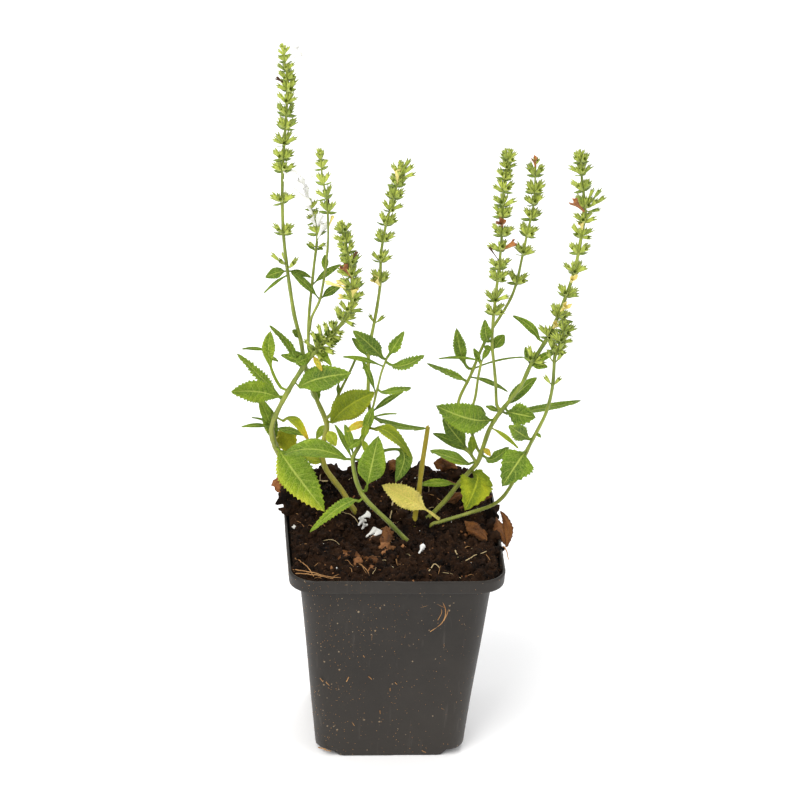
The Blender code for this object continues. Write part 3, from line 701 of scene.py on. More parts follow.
# %% Helpers for geometry trees
def new_tree(name, inputs):
    """A geometry tree with a mesh in, a mesh out, and named inputs (label, socket type, default)."""
    tree = bpy.data.node_groups.new(name, "GeometryNodeTree")
    tree.interface.new_socket("Geometry", in_out="INPUT", socket_type="NodeSocketGeometry")
    for label, kind, default in inputs:
        socket = tree.interface.new_socket(label, in_out="INPUT", socket_type="NodeSocket" + kind)
        if default is not None:
            socket.default_value = default
    tree.interface.new_socket("Geometry", in_out="OUTPUT", socket_type="NodeSocketGeometry")
    return tree, tree.nodes.new("NodeGroupInput").outputs, tree.nodes.new("NodeGroupOutput").inputs


def close_tree(tree, geometry, material, output, smooth=True):
    """End a tree the way an export needs: real meshes, smooth, with a material."""
    real = first(tree, "GeometryNodeRealizeInstances", Geometry=geometry)
    shaded = first(tree, "GeometryNodeSetShadeSmooth", Geometry=real, Shade_Smooth=smooth)
    dressed = first(tree, "GeometryNodeSetMaterial", Geometry=shaded, Material=material)
    tree.links.new(dressed, output["Geometry"])


def copies(tree, points, template, rotation, scale):
    """Instances of a template object on points."""
    shape = put(tree, "GeometryNodeObjectInfo", Object=template).outputs["Geometry"]
    return first(tree, "GeometryNodeInstanceOnPoints", Points=points, Instance=shape, Rotation=rotation,
                 Scale=scale)


def grow(name, base, tree, **values):
    """Run a tree on a base object and return its result as a plain mesh object."""
    modifier = base.modifiers.new("grow", "NODES")
    modifier.node_group = tree
    for item in tree.interface.items_tree:
        if item.item_type == "SOCKET" and item.in_out == "INPUT":
            label = item.name.replace(" ", "_")
            if label in values:
                modifier[item.identifier] = values[label]
    bpy.context.view_layer.update()
    depsgraph = bpy.context.evaluated_depsgraph_get()
    mesh = bpy.data.meshes.new_from_object(base.evaluated_get(depsgraph),
                                           preserve_all_data_layers=True, depsgraph=depsgraph)
    base.modifiers.remove(modifier)
    mesh.name = name
    return add_object(name, mesh)


def points_object(name, places, edges=(), **attributes):
    """A mesh of bare points, with one attribute for each keyword."""
    mesh = bpy.data.meshes.new(name)
    mesh.from_pydata([tuple(p) for p in places], list(edges), [])
    for label, values in attributes.items():
        values = np.asarray(values, np.float32)
        kind, key = ("FLOAT_VECTOR", "vector") if values.ndim == 2 else ("FLOAT", "value")
        mesh.attributes.new(label, kind, "POINT").data.foreach_set(key, values.ravel())
    return add_object(name, mesh)


def discard(*objects):
    """Remove scratch objects."""
    for old in objects:
        bpy.data.objects.remove(old, do_unlink=True)


def keep(piece, slot, *nodes):
    """Attach a finished piece to its body and hide the CAD nodes that it stands for. The slot is not used.
    """
    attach(piece, BODY)
    if nodes:
        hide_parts(*nodes)
    piece.data.calc_loop_triangles()
    piece_sizes[piece.name] = len(piece.data.loop_triangles)
    return piece


def named(tree, label, kind="FLOAT"):
    """The value of an attribute on the points that a tree works on."""
    return first(tree, "GeometryNodeInputNamedAttribute", {"data_type": kind}, Name=label)


piece_sizes = {}
print("geometry helpers ready")

# %% Tree: a grooved square stem
square_tree, n_in, n_out = new_tree(
    "square_stem",
    [("Sides", "Int", 16), ("Groove", "Float", 0.10),
     ("Material", "Material", None)])
profile = first(square_tree, "GeometryNodeCurvePrimitiveCircle", Resolution=n_in["Sides"], Radius=1.0)
n_position = square_tree.nodes.new("GeometryNodeInputPosition").outputs[0]
n_axes = put(square_tree, "ShaderNodeSeparateXYZ", Vector=n_position)
n_angle = maths(square_tree, "ARCTAN2", n_axes.outputs[1], n_axes.outputs[0])
n_wave = maths(square_tree, "COSINE", times(square_tree, n_angle, 4.0))
n_scale = maths(square_tree, "ADD", 1.0,
                times(square_tree, n_in["Groove"], maths(square_tree, "SUBTRACT", n_wave, 1.0)))
n_ridged = first(square_tree, "ShaderNodeVectorMath", {"operation": "SCALE"}, _0=n_position, Scale=n_scale)
profile = first(square_tree, "GeometryNodeSetPosition", Geometry=profile, Position=n_ridged)
n_line = first(square_tree, "GeometryNodeMeshToCurve", Mesh=n_in["Geometry"])
n_skin = first(square_tree, "GeometryNodeCurveToMesh", Curve=n_line, Profile_Curve=profile,
               Scale=named(square_tree, "thick"), Fill_Caps=True)
close_tree(square_tree, n_skin, n_in["Material"], n_out)
print("square_stem has", len(square_tree.nodes), "nodes")

# %% Grow the stems
# node: how yellow the foot of the stem has turned, from 0 to 1
STEM_AGES = {"stem_left": 0.35, "stem_tall": 0.75, "stem_front": 0.1, "stem_right": 0.25,
             "stem_outer": 0.2, "cut_stub": 0.5}
SWELLING = 0.16
SLIMMER = 0.86
THICK_STEM = 0.8 * MM
dice = random.Random(11)


def stem_base(node):
    """A stem's line with its swellings and its age, as points joined by edges."""
    line, thick = stem_lines[node]
    thick = thick * SLIMMER * np.minimum(1.0, (THICK_STEM / thick) ** 0.35)
    swelling = np.zeros(len(thick))
    for leaf, (_, middle, _) in blades.items():
        index, far = nearest_on(line, middle[0])
        if far < 4 * MM:
            along = np.linalg.norm(line - line[index], axis=1)
            swelling = np.maximum(swelling, np.exp(-(along / (1.6 * MM)) ** 2))
    thick *= 1 + SWELLING * swelling + 0.05 * np.sin(np.linspace(0, 0.55 * len(line),
                                                                 len(line)) + dice.uniform(0, 6))
    age = STEM_AGES.get(node, 0.05) * np.clip(1 - np.arange(len(line)) / 75.0, 0, 1)
    if node == "cut_stub":
        age = np.clip((np.arange(len(line)) - len(line) + 4) / 4.0, 0.0, 1.0)
    pairs = [(i, i + 1) for i in range(len(line) - 1)]
    return points_object(node + "_line", line, pairs, thick=thick, age=age)


stem_pieces = {}
for node in STEM_NODES:
    base = stem_base(node)
    piece = grow(node.replace("stem_", "stem_skin_").replace("cut_stub", "stem_skin_stub"), base,
                 square_tree, Sides=16, Groove=0.10,
                 Material=stub_skin if node == "cut_stub" else stem_skin)
    discard(base)
    stem_pieces[node] = keep(piece, "stub_olive" if node == "cut_stub" else "stem_green", node)
print("stem triangles:", sum(piece_sizes.values()))

# %% [markdown]
# ## Leaves
#
# A sage leaf is a long oval blade on a stalk. Its margin has small rounded teeth that point forward, its
# midrib is sunk above and stands out below, and the surface between the side veins puffs up. All of that
# is shape, so every blade is a grid of points worked out with numpy: along the midrib from the frame, and
# across from margin to margin. The lower face is the same grid moved down by the blade's thickness, and
# the two are stitched at the edge, so a leaf is a closed, printable sheet.

# %% One blade
VEIN_PAIRS = 9.0
VEIN_SWEEP = 0.17
TOOTH = 1.65 * MM
ACROSS = 17
# a face's corners in the other direction, from the same first corner
FLIP = [0, 3, 2, 1]


def unit(vectors):
    """Vectors scaled to length one."""
    return vectors / np.maximum(np.linalg.norm(vectors, axis=-1, keepdims=True), 1e-12)


def through(points, count):
    """A smooth curve through points, sampled evenly in its own parameter."""
    places, where = smooth_line(points, 0.25 * MM)
    wanted = np.linspace(0, len(points) - 1, count)
    return np.stack([np.interp(wanted, where, places[:, i]) for i in range(3)], axis=1)


def sheet_faces(rows, columns):
    """Faces of a grid of points and of the same grid below it, stitched at the edge."""
    grid = np.arange(rows * columns).reshape(rows, columns)
    corners = [grid[:-1, :-1], grid[:-1, 1:], grid[1:, 1:], grid[1:, :-1]]
    above = np.stack(corners, -1).reshape(-1, 4)
    ring = np.concatenate([grid[0], grid[1:, -1], grid[-1, -2::-1], grid[-2:0:-1, 0]])
    other = ring + rows * columns
    rim = np.stack([ring, other, np.roll(other, -1), np.roll(ring, -1)], -1)
    return np.vstack([above, above[:, FLIP] + rows * columns, rim])


def blade(left, middle, right, foot=None, age=0.1, edge=0.15, side=0.0, tip=0.0, tooth=0.48, curl=0.10,
          wave=0.05, puff=0.16, thickness=0.32, seed=1, blotch=0.10):
    """Vertices, faces, UVs, age and underside flag of one leaf. Lengths of relief are in millimetres."""
    dice = np.random.RandomState(seed)
    length = np.linalg.norm(np.diff(middle, axis=0), axis=1).sum()
    teeth = max(4, int(length / TOOTH))
    rows = max(22, teeth * 5)
    share = np.linspace(0, 1, rows)
    m, l, r = through(middle, rows), through(left, rows), through(right, rows)
    along = unit(np.gradient(m, axis=0))
    across = r - l
    across = unit(across - (across * along).sum(1, keepdims=True) * along)
    up = unit(np.cross(across, along))
    half = 0.5 * np.linalg.norm(r - l, axis=1)
    keel = ((0.5 * (l + r) - m) * up).sum(1)
    stalk = half < 0.85 * MM
    half = np.where(share > 0.95, half * (1 - 0.75 * np.clip((share - 0.95) / 0.05, 0, 1) ** 1.5), half)
    if foot is not None:
        extra = 6
        lead = np.linspace(0, 1, extra, endpoint=False)[:, None]
        m = np.vstack([foot + (m[0] - foot) * lead, m])
        across, up, along = [np.vstack([np.repeat(a[:1], extra, 0), a]) for a in (across, up, along)]
        half = np.concatenate([np.full(extra, half[0] * 0.9), half])
        keel = np.concatenate([np.full(extra, keel[0]), keel])
        stalk = np.concatenate([np.ones(extra, bool), stalk])
        share = np.concatenate([np.zeros(extra), share])
    bare = float(share[np.argmax(~stalk)]) if (~stalk).any() else 0.0
    blade_share = np.clip((share - bare) / max(1e-6, 1 - bare), 0, 1)
    on_blade = np.clip((half - 0.8 * MM) / (1.2 * MM), 0, 1)
    v = np.linspace(-1, 1, ACROSS)
    span = min(1.15, max(0.35, length / (27 * MM)))
    top = np.zeros((len(m), ACROSS, 3))
    ages = np.zeros((len(m), ACROSS))
    waves = dice.uniform(0, 6.28, 4)
    for j, w in enumerate(v):
        a = abs(w)
        phase = np.mod(blade_share * teeth + (0.37 if w < 0 else 0.0), 1.0)
        cut = tooth * 1.5 * MM * (phase ** 1.6 - 0.4) * on_blade * a ** 5
        front = (blade_share * span - VEIN_SWEEP * a) * VEIN_PAIRS
        hump = np.abs(np.sin(math.pi * front)) ** 0.6 * min(1.0, a / 0.2) * (1 - a ** 8)
        lift = keel * (a ** 1.6 - 0.1) - curl * half * a ** 4
        lift += (puff * MM * (hump - 0.35) - 0.10 * MM * math.exp(-(a / 0.12) ** 2)) * on_blade
        lift += wave * half * a * a * np.sin((9 if w < 0 else 11) * blade_share + waves[0 if w < 0 else 1])
        lift += 0.12 * wave * half * a ** 3 * np.sin(31 * blade_share + waves[2] + 2 * w)
        reach = w * half + math.copysign(1.0, w) * cut
        top[:, j] = m + across * reach[:, None] + up * lift[:, None]
        ages[:, j] = age + edge * a ** 3.5 + side * w + tip * blade_share ** 2
        ages[:, j] += blotch * np.sin(5 * blade_share + 2.4 * w + waves[3]) * np.sin(3.1 * w + waves[1])
    width = half[:, None] * np.abs(v)[None, :]
    depth = thickness * MM * (1 - 0.45 * np.abs(v)[None, :] ** 4) * np.ones((len(m), 1))
    rib = 0.55 * MM * (1 - 0.75 * blade_share[:, None]) * np.exp(-(width / (0.42 * MM)) ** 2)
    round_stalk = np.where(on_blade[:, None] < 0.3, 1.3 * half[:, None] * np.sqrt(1.02 - v[None, :] ** 2), 0)
    depth = np.maximum(depth + rib, round_stalk)
    low = top - up[:, None, :] * depth[:, :, None]
    rows = len(m)
    vertices = np.vstack([top.reshape(-1, 3), low.reshape(-1, 3)])
    uv_v = (blade_share * span)[:, None] * np.ones((1, ACROSS))
    uv_u = 0.5 * (v[None, :] + 1) * np.ones((rows, 1))
    uv = np.stack([uv_u, uv_v], -1).reshape(-1, 2)
    ages = np.clip(ages, 0, 1).ravel()
    flags = np.concatenate([np.zeros(rows * ACROSS), np.ones(rows * ACROSS)])
    return vertices, sheet_faces(rows, ACROSS), np.vstack([uv, uv]), np.concatenate([ages, ages]), flags


def joined(parts):
    """Vertices and faces of several parts, put end to end."""
    starts = np.cumsum([0] + [len(part[0]) for part in parts[:-1]])
    return np.vstack([part[0] for part in parts]), np.vstack([part[1] + n for part, n in zip(parts, starts)])


def leaf_object(name, parts, finish):
    """Join blades into one object, with their UV map and attributes."""
    vertices, faces = joined(parts)
    uvs, ages, unders = [np.concatenate([part[k] for part in parts]) for k in (2, 3, 4)]
    mesh = bpy.data.meshes.new(name)
    mesh.from_pydata(vertices.tolist(), [], faces.tolist())
    for label, values in (("age", ages), ("under", unders)):
        mesh.attributes.new(label, "FLOAT", "POINT").data.foreach_set("value", values.astype(np.float32))
    layer = mesh.uv_layers.new(name=BLADE_MAP)
    layer.data.foreach_set("uv", uvs[faces.ravel()].astype(np.float32).ravel())
    mesh.materials.append(finish)
    mesh.shade_smooth()
    mesh.update()
    return add_object(name, mesh)


print("blade helper ready")

# %% Leaves from the frame
# name: how this leaf differs from a fresh green one
LOOKS = {
    "leaf_hanging_left": dict(age=0.24, edge=0.18, side=0.20, tip=0.12, tooth=0.7, puff=0.28),
    "leaf_left_broad": dict(age=0.20, tooth=0.6, puff=0.28, curl=0.16, wave=0.12),
    "leaf_arched": dict(age=0.08, tooth=0.4, puff=0.28, curl=0.2, wave=0.12),
    "leaf_olive": dict(age=0.14, edge=0.22, puff=0.24, side=0.10, curl=0.2),
    "leaf_turning": dict(age=0.12, edge=0.05, tip=0.72, tooth=0.2, blotch=0.05),
    "leaf_yellow_back": dict(age=0.55, edge=0.12, tip=-0.1, wave=0.2),
    "leaf_drooping_yellow": dict(age=0.10, edge=0.32, tip=-0.1, puff=0.12),
    "leaf_hanging_yellow": dict(age=0.06, edge=0.16, tip=0.10, tooth=0.6, puff=0.28, wave=0.30, blotch=0.3),
    "leaf_pale_fallen": dict(age=0.40, edge=0.10, tip=-0.05, tooth=0.6, wave=0.3, curl=0.02, puff=0.22),
    "leaf_veined": dict(age=0.09, tooth=0.6, puff=0.38),
    "leaf_round_hanging": dict(age=0.09, tooth=0.75, puff=0.34),
    "leaf_right_folded": dict(age=0.08, tooth=0.7, puff=0.32),
    "leaf_crossing": dict(age=0.14, edge=0.08, tooth=0.12, puff=0.14),
    "leaf_round_front": dict(age=0.14, edge=0.08, tooth=0.18, puff=0.2),
    "leaf_low_front": dict(age=0.20, tooth=0.6, puff=0.2),
    "leaf_serrated_tip": dict(age=0.08, tooth=0.9, puff=0.2),
    "leaf_left_serrated": dict(age=0.16, tooth=0.9),
    "leaf_left_upright": dict(age=0.26, tooth=0.3),
    "leaf_front_upper": dict(age=0.04, tooth=0.5, puff=0.28, wave=0.12),
    "leaf_folded_over": dict(age=0.04, edge=0.02, tooth=0.15),
    "leaf_dark_narrow": dict(age=0.04, tooth=0.1),
    "leaf_dark_middle": dict(age=0.02, tooth=0.2),
    "leaf_right_dark": dict(age=0.02, tooth=0.3, puff=0.24),
    "leaf_low_right": dict(age=0.12, tooth=0.2),
    "leaf_dark_upright": dict(age=0.04, tooth=0.3),
    "leaf_long_right": dict(age=0.05, tooth=0.2),
    "leaf_long_curved": dict(age=0.08, tooth=0.15),
    "dead_leaf_curled": dict(age=0.35, edge=0.2, wave=0.5, curl=0.9, puff=0.3, tooth=0.3, blotch=0.4),
    "dead_leaf_rim": dict(age=0.2, edge=0.35, wave=0.6, curl=0.9, puff=0.3, tooth=0.4, blotch=0.4),
}
YELLOW_LEAVES = ("leaf_yellow_back", "leaf_olive", "leaf_drooping_yellow", "leaf_hanging_yellow",
                 "leaf_turning")
DEAD_SHRINK = 0.55
every_stem_point = np.vstack([line for line, _ in stem_lines.values()])


def leaf_dress(node):
    """The finish and the slot of a leaf."""
    if node.startswith("dead"):
        return leaf_brown, "leaf_dead"
    if node == "leaf_pale_fallen":
        return leaf_straw, "leaf_pale"
    if node in YELLOW_LEAVES:
        return leaf_yellow, "leaf_yellowing"
    return leaf_green, "leaf_fresh"


for number, node in enumerate(LEAF_NODES):
    left, middle, right = blades[node]
    if node.startswith("dead"):
        left, right = [middle + (line - middle) * DEAD_SHRINK for line in (left, right)]
    index, far = nearest_on(every_stem_point, middle[0])
    foot = every_stem_point[index] if far < 5 * MM and not node.startswith("dead") else None
    finish, slot_name = leaf_dress(node)
    piece = leaf_object(node + "_blade",
                        [blade(left, middle, right, foot, seed=number + 3, **LOOKS.get(node, {}))], finish)
    keep(piece, slot_name, node)
print(len(LEAF_NODES), "leaves,", sum(n for name, n in piece_sizes.items() if "blade" in name), "triangles")

# %% [markdown]
# ## Small leaves
#
# Young leaves and bract pairs sit at the nodes of the stems, too small for a solid of their own in the
# frame. Each is placed from the frame all the same: a share of the way along a stem, and how far its
# tip reaches from there. They use the same blade as the large leaves.

# %% Small leaves on the stems
def table(text):
    """Rows of words and numbers; three numbers after the second word are a reach."""
    rows = []
    for row in text.split("|"):
        node, share, x, y, z, *rest = row.split()
        rest = [float(word) if word.strip("-.").replace(".", "").isdigit() else word for word in rest]
        rows.append((node, float(share), (float(x), float(y), float(z)), *rest))
    return rows


# (frame node, share of the way along it, reach to the tip in mm, width in mm, age)
SMALL_LEAVES = table("""
    stem_left 0.21 -6.3 -4 24 6.4 0.22 | stem_front 0.4 -4.3 -3 16.9 3.6 0.2 |
    stem_front 0.5 3.8 -3 16.2 4.2 0.22 | stem_front 0.49 2 -5 10.4 3.4 0.3 |
    stem_left 0.64 3.8 -4 11.4 3.4 0.2 | stem_left 0.76 7.4 -4 3.7 4.2 0.15 |
    stem_left 0.8 4.5 -3 -4.3 4.6 0.35 | stem_left 0.7 -5.9 -3 6.8 3.4 0.1 |
    stem_left 0.84 7.4 -3 3.7 3.6 0.1 | stem_right_shoot 0.52 5.9 3 -6 2.4 0.05 |
    stem_right_up 0.62 -3.9 -2 3 2.4 0.1 | stem_tall 0.69 -3.3 -2 5.3 3 0.05 |
    stem_left 0.34 -6 -4 17 4.8 0.25 | stem_left 0.36 -13 2 -1 2 0.1 | stem_left 0.38 -9 0 3 1 0.1 |
    leaf_left_upright 0.67 -11 4 -1 1.6 0.1 | leaf_left_upright 0.57 4 0 -2 1.6 0.1 |
    stem_left 0.69 -10 3 3 3.4 0.1 | stem_left 0.74 -6 -4 -1 4.6 0.15 | stem_left 0.76 4 -5 -5 2.6 0.75 |
    stem_tall 0.45 -3 4 8 4.2 0.05 | stem_tall_side 0.43 0 -2 7 1.6 0.1 |
    stem_tall_side 0.43 5 -1 1 1.2 0.1 | stem_left 0.35 14 -3 -2 3 0.1 | stem_tall 0.2 -10 -5 7 5 0.45 |
    stem_tall 0.35 4 -4 -6 5 0.5 | stem_tall 0.37 -4 4 -9 3.5 0.35 | stem_front 0.55 -10 -5 -2 3.4 0.72 |
    stem_right 0.28 -17 -4 2 3.6 0.2 | stem_front 0.75 -7 3 8 3.4 0.05 | stem_front 0.77 1 4 4 2 0.05 |
    stem_front_side 0.87 -17 3 3 2.2 0.1 | stem_front 0.57 14 3 9 2.6 0.05 |
    stem_front 0.56 11 -2 3 0.9 0.2 | stem_front 0.71 -2 4 -1 3.4 0 |
    stem_front_side 0.4 -6 4 14 2.6 0.1 | stem_right_back 0.5 17 6 -10 2.2 0.1 |
    stem_right_back 0.54 22 5 3 0.9 0.15 | stem_right_up 0.62 5 3 6 5 0.05 | stem_right 1 -2 4 7 3 0.1 |
    stem_right 1 7 -3 1 3.4 0.2 | stem_right 1 10 -3 8 3.4 0.15 | stem_right 0.72 15 7 12 5.4 0.05 |
    stem_right 0.63 12 -2 -9 2 0.45 | stem_right_back 0 -1 -5 12 3.8 0.25 |
    stem_right_back 0.03 -16 6 7 4.2 0 | stem_right_shoot 1 -18 2 0 1.4 0.1 |
    stem_right_shoot 0.99 -3 2 5 1.4 0.1 | stem_right_shoot 0.96 -3 2 7 2.6 0.1 |
    stem_right_shoot 0.99 4 3 6 2.6 0.1 | stem_right 0.53 3 -4 -2 2.6 0.66 |
    stem_outer 0.62 2 -2 -1 1.6 0.1 | stem_right_up 0 0 2 -1 1.4 0.1 | stem_right 0.71 -6 2 2 2.4 0.05 |
    stem_front 0.38 -8 3 16 2.4 0.15 | stem_front 0.38 6 2 16 2.2 0.15 | stem_front 0.5 -6 -3 -3 3.5 0.2 |
    stem_front 0.5 2 -3 -6 2.8 0.4 | stem_back_2 0.39 -12 3 11 3.4 0.05 |
    stem_back_2 0.39 9 3 5 3.6 0.05 | stem_back_1 0.54 12 3 8 3 0.05 | stem_back_1 0.85 -4 1 3 1.8 0.1 |
    stem_back_1 0.86 5 1 1 1.8 0.1 | stem_back_2 0.62 0 1 8 3 0.1 | stem_tall 0.92 -9 2 -4 4.8 0.05 |
    stem_tall 0.91 -10 -3 -7 1.4 0.1 | stem_tall 0.92 10 2 -4 2.6 0.05 | stem_left 0.83 -3 -3 7 3.6 0.15 |
    stem_left 0.77 -2 3 3 3.2 0.1 | stem_left 0.89 -1 -4 6 3 0.2 | stem_left 0.8 6 -5 -5 3 0.2 |
    spike_right_back 0.02 1 1 3 2 0.05 | spike_right_back 0.05 5 1 0 1.6 0.05 |
    spike_right 0.17 8 0 2 2.4 0.1 | spike_outer 0 4 0 2 2 0.1""")
frame_lines = {node: centres for node, (centres, _) in tubes.items()}
frame_lines.update({node: middle for node, (_, middle, _) in blades.items()})


def on_line(node, share):
    """The place a share of the way along a frame node's line."""
    line = frame_lines[node]
    index = share * (len(line) - 1)
    low = min(int(index), len(line) - 2)
    return line[low] + (line[low + 1] - line[low]) * (index - low)


def small_lines(foot, tip, width, stalk=0.15, sag=0.12, look=(0.0, -0.8, 0.75)):
    """The three lines of a small blade between two places."""
    foot, tip = np.asarray(foot, float), np.asarray(tip, float)
    reach = tip - foot
    bow = 0.5 * (foot + tip) + np.array([0, 0, sag * np.linalg.norm(reach)])
    t = np.linspace(0, 1, 8)[:, None]
    middle = foot * (1 - t) ** 2 + bow * 2 * t * (1 - t) + tip * t * t
    along = unit(np.gradient(middle, axis=0))
    across = unit(np.cross(along, np.asarray(look, float)))
    s = np.clip((t - stalk) / (1 - stalk), 0, 1)
    half = np.maximum(0.32 * MM, 0.5 * width * np.sin(math.pi * s ** 0.85) ** 0.8)
    up = np.cross(across, along)
    lift = up * half * 0.25
    return middle - across * half + lift, middle, middle + across * half + lift


small_parts = {}
for number, (node, share, reach, width, age) in enumerate(SMALL_LEAVES):
    foot = on_line(node, share)
    lines = small_lines(foot, foot + np.array(reach) * MM, width * MM)
    part = blade(*lines, age=age, edge=0.08, tooth=0.16 if width > 2.5 else 0.0, puff=0.10, curl=0.12,
                 wave=0.10, thickness=0.24, seed=100 + number)
    small_parts.setdefault(node.split("_")[0 if node.startswith("leaf") else 1], []).append(part)
for group, parts in small_parts.items():
    keep(leaf_object("small_leaves_" + group, parts, leaf_green), "leaf_fresh")
print(len(SMALL_LEAVES), "small leaves in", len(small_parts), "pieces")

# %% Dry leaves on the soil
# (x, y, height of the stalk end; reach to the tip; width) in mm
DRY_LEAVES = [
    (31, 3.5, 95, (8.5, -14, -2), 6), (40, -6, 93.5, (-9, 3, 1.5), 5),
    (20, 40, 104, (9, 1, -3.5), 7), (30, 36, 103, (-7, 3, 4), 5),
    (0.5, 36, 106, (5, 2, -4), 6), (-22, -17, 92.2, (9, -7, -0.6), 3.6),
    (-24, -24, 92, (8, 6.5, -0.4), 3.2), (-14, -22, 92.2, (9.5, -6, -0.8), 3.4),
    (-3, -3, 96, (-1.5, -13, -3.5), 5.4), (44.5, 4, 96.5, (4, -15, -6), 5),
    (22, 14, 98, (13, 4, 4), 4.4), (9, 22, 99, (3, -12, -2), 3.2),
]
dry_parts = []
for number, (x, y, z, reach, width) in enumerate(DRY_LEAVES):
    foot = np.array([x, y, z]) * MM
    lines = small_lines(foot, foot + np.array(reach) * MM, width * MM, stalk=0.05, sag=0.10,
                        look=(0.5 * math.sin(3 * number), -0.5, 0.8))
    dry_parts.append(blade(*lines, age=0.2 + 0.05 * (number % 4), edge=0.25, tooth=0.35, puff=0.25,
                           curl=0.7, wave=0.5, thickness=0.28, seed=150 + number, blotch=0.35))
keep(leaf_object("dry_leaves", dry_parts, leaf_brown), "leaf_dead")
print(len(DRY_LEAVES), "dry leaves")

# %% [markdown]
# ## Flower spikes
#
# A sage spike carries its flowers in whorls. After flowering each flower leaves its calyx, a ribbed green
# bell with two lips of pointed teeth, in fans of three on two sides of the stem, with a pair of
# small bracts under them. Hundreds of bells repeat, so one bell of a few dozen faces is made once, and a
# tree places it on points that carry a direction and a size. The frame's rings say where each whorl is
# and how far it reaches.

# %% One calyx and one bract
BELL_SIDES = 10
# height and radius of the bell's rings, in bell lengths, and how much painted shade they get inside
BELL_RINGS = [(0.00, 0.040, 0.0), (0.12, 0.085, 0.0), (0.34, 0.140, 0.0), (0.62, 0.165, 0.0),
              (0.80, 0.185, 0.0), (0.72, 0.135, 0.55), (0.40, 0.080, 1.0)]
MOUTH = 4


def bell_template():
    """A two-lipped ribbed bell, one unit long, opening to +Z."""
    vertices, depth = [], []
    for level, (height, radius, dark) in enumerate(BELL_RINGS):
        for k in range(BELL_SIDES):
            angle = 2 * math.pi * k / BELL_SIDES
            ridge = k % 2 == 0
            r, z = radius * (1.06 if ridge else 0.90), height
            if level == MOUTH:
                lower_lip = math.cos(angle) > 0.2
                z += (0.30 if lower_lip else 0.20) if ridge else -0.08
                r *= 1.10 if ridge else 0.95
            vertices.append((r * math.cos(angle), r * math.sin(angle), z))
            depth.append(dark)
    faces = []
    for level in range(len(BELL_RINGS) - 1):
        for k in range(BELL_SIDES):
            a, b = level * BELL_SIDES + k, level * BELL_SIDES + (k + 1) % BELL_SIDES
            faces.append((a, b, b + BELL_SIDES, a + BELL_SIDES))
    last = (len(BELL_RINGS) - 1) * BELL_SIDES
    faces.append(tuple(range(BELL_SIDES))[::-1])
    faces.append(tuple(range(last, last + BELL_SIDES)))
    made = new_mesh_object("bell_template", vertices, faces)
    # depth carries the painted shade inside the bell, read by the calyx material
    made.data.attributes.new("depth", "FLOAT", "POINT").data.foreach_set("value", depth)
    return made


def scale_template(name, width, bend, rows=5):
    """A small pointed scale, one unit long towards +Z and curved back, as a closed shell."""
    vertices, faces = [], []
    for i in range(rows):
        t = i / (rows - 1)
        half = 0.5 * width * math.sin(math.pi * min(1.0, 0.12 + 0.88 * t) ** 0.8) + 0.012
        y = bend * t * t
        vertices += [(-half, y, t), (0.0, y - 0.05, t), (half, y, t), (0.0, y + 0.03, t)]
    for i in range(rows - 1):
        for k in range(4):
            a, b = 4 * i + k, 4 * i + (k + 1) % 4
            faces.append((a, b, b + 4, a + 4))
    faces += [(3, 2, 1, 0), tuple(4 * (rows - 1) + k for k in range(4))]
    return new_mesh_object(name, vertices, faces)


bell = bell_template()
bract = scale_template("bract_template", 0.38, 0.22)
print("bell has", len(bell.data.polygons), "faces, bract has", len(bract.data.polygons))

# %% Tree: copies along aims
scatter_tree, c_in, c_out = new_tree(
    "along_aims",
    [("Template", "Object", None), ("Size Jitter", "Float", 0.12),
     ("Roll", "Float", 0.5), ("Seed", "Int", 1),
     ("Material", "Material", None)])
c_aim = first(scatter_tree, "FunctionNodeAlignRotationToVector", {"axis": "Z"},
              Vector=named(scatter_tree, "aim", "FLOAT_VECTOR"))
c_roll = chance(scatter_tree, times(scatter_tree, c_in["Roll"], -1.0), c_in["Roll"], c_in["Seed"])
c_turn = first(scatter_tree, "FunctionNodeAxisAngleToRotation", Axis=(0.0, 0.0, 1.0), Angle=c_roll)
c_rotation = first(scatter_tree, "FunctionNodeRotateRotation", {"rotation_space": "LOCAL"}, Rotation=c_aim,
                   Rotate_By=c_turn)
c_random = chance(scatter_tree, maths(scatter_tree, "SUBTRACT", 1.0, c_in["Size Jitter"]),
                  maths(scatter_tree, "ADD", 1.0, c_in["Size Jitter"]),
                  maths(scatter_tree, "ADD", c_in["Seed"], 7.0))
c_size = times(scatter_tree, named(scatter_tree, "size"), c_random)
c_copies = copies(scatter_tree, c_in["Geometry"], c_in["Template"], c_rotation, c_size)
c_tint = chance(scatter_tree, 0.0, 1.0, maths(scatter_tree, "ADD", c_in["Seed"], 13.0))
c_marked = first(scatter_tree, "GeometryNodeStoreNamedAttribute", {"domain": "INSTANCE"}, Geometry=c_copies,
                 Name="tint", Value=c_tint)
close_tree(scatter_tree, c_marked, c_in["Material"], c_out)
print("along_aims has", len(scatter_tree.nodes), "nodes")

# %% Whorls of calyxes
# degrees round the stem, degrees down from the fan's middle
FAN = [(-48, 14), (-20, 0), (14, -26), (46, 8), (132, 10), (162, -24), (196, 2), (230, 14)]
SPARSE_SPIKES = ("spike_back_1", "spike_back_2")
WHORL_TURNS = (0, 32, -24, 14, 46, -12)


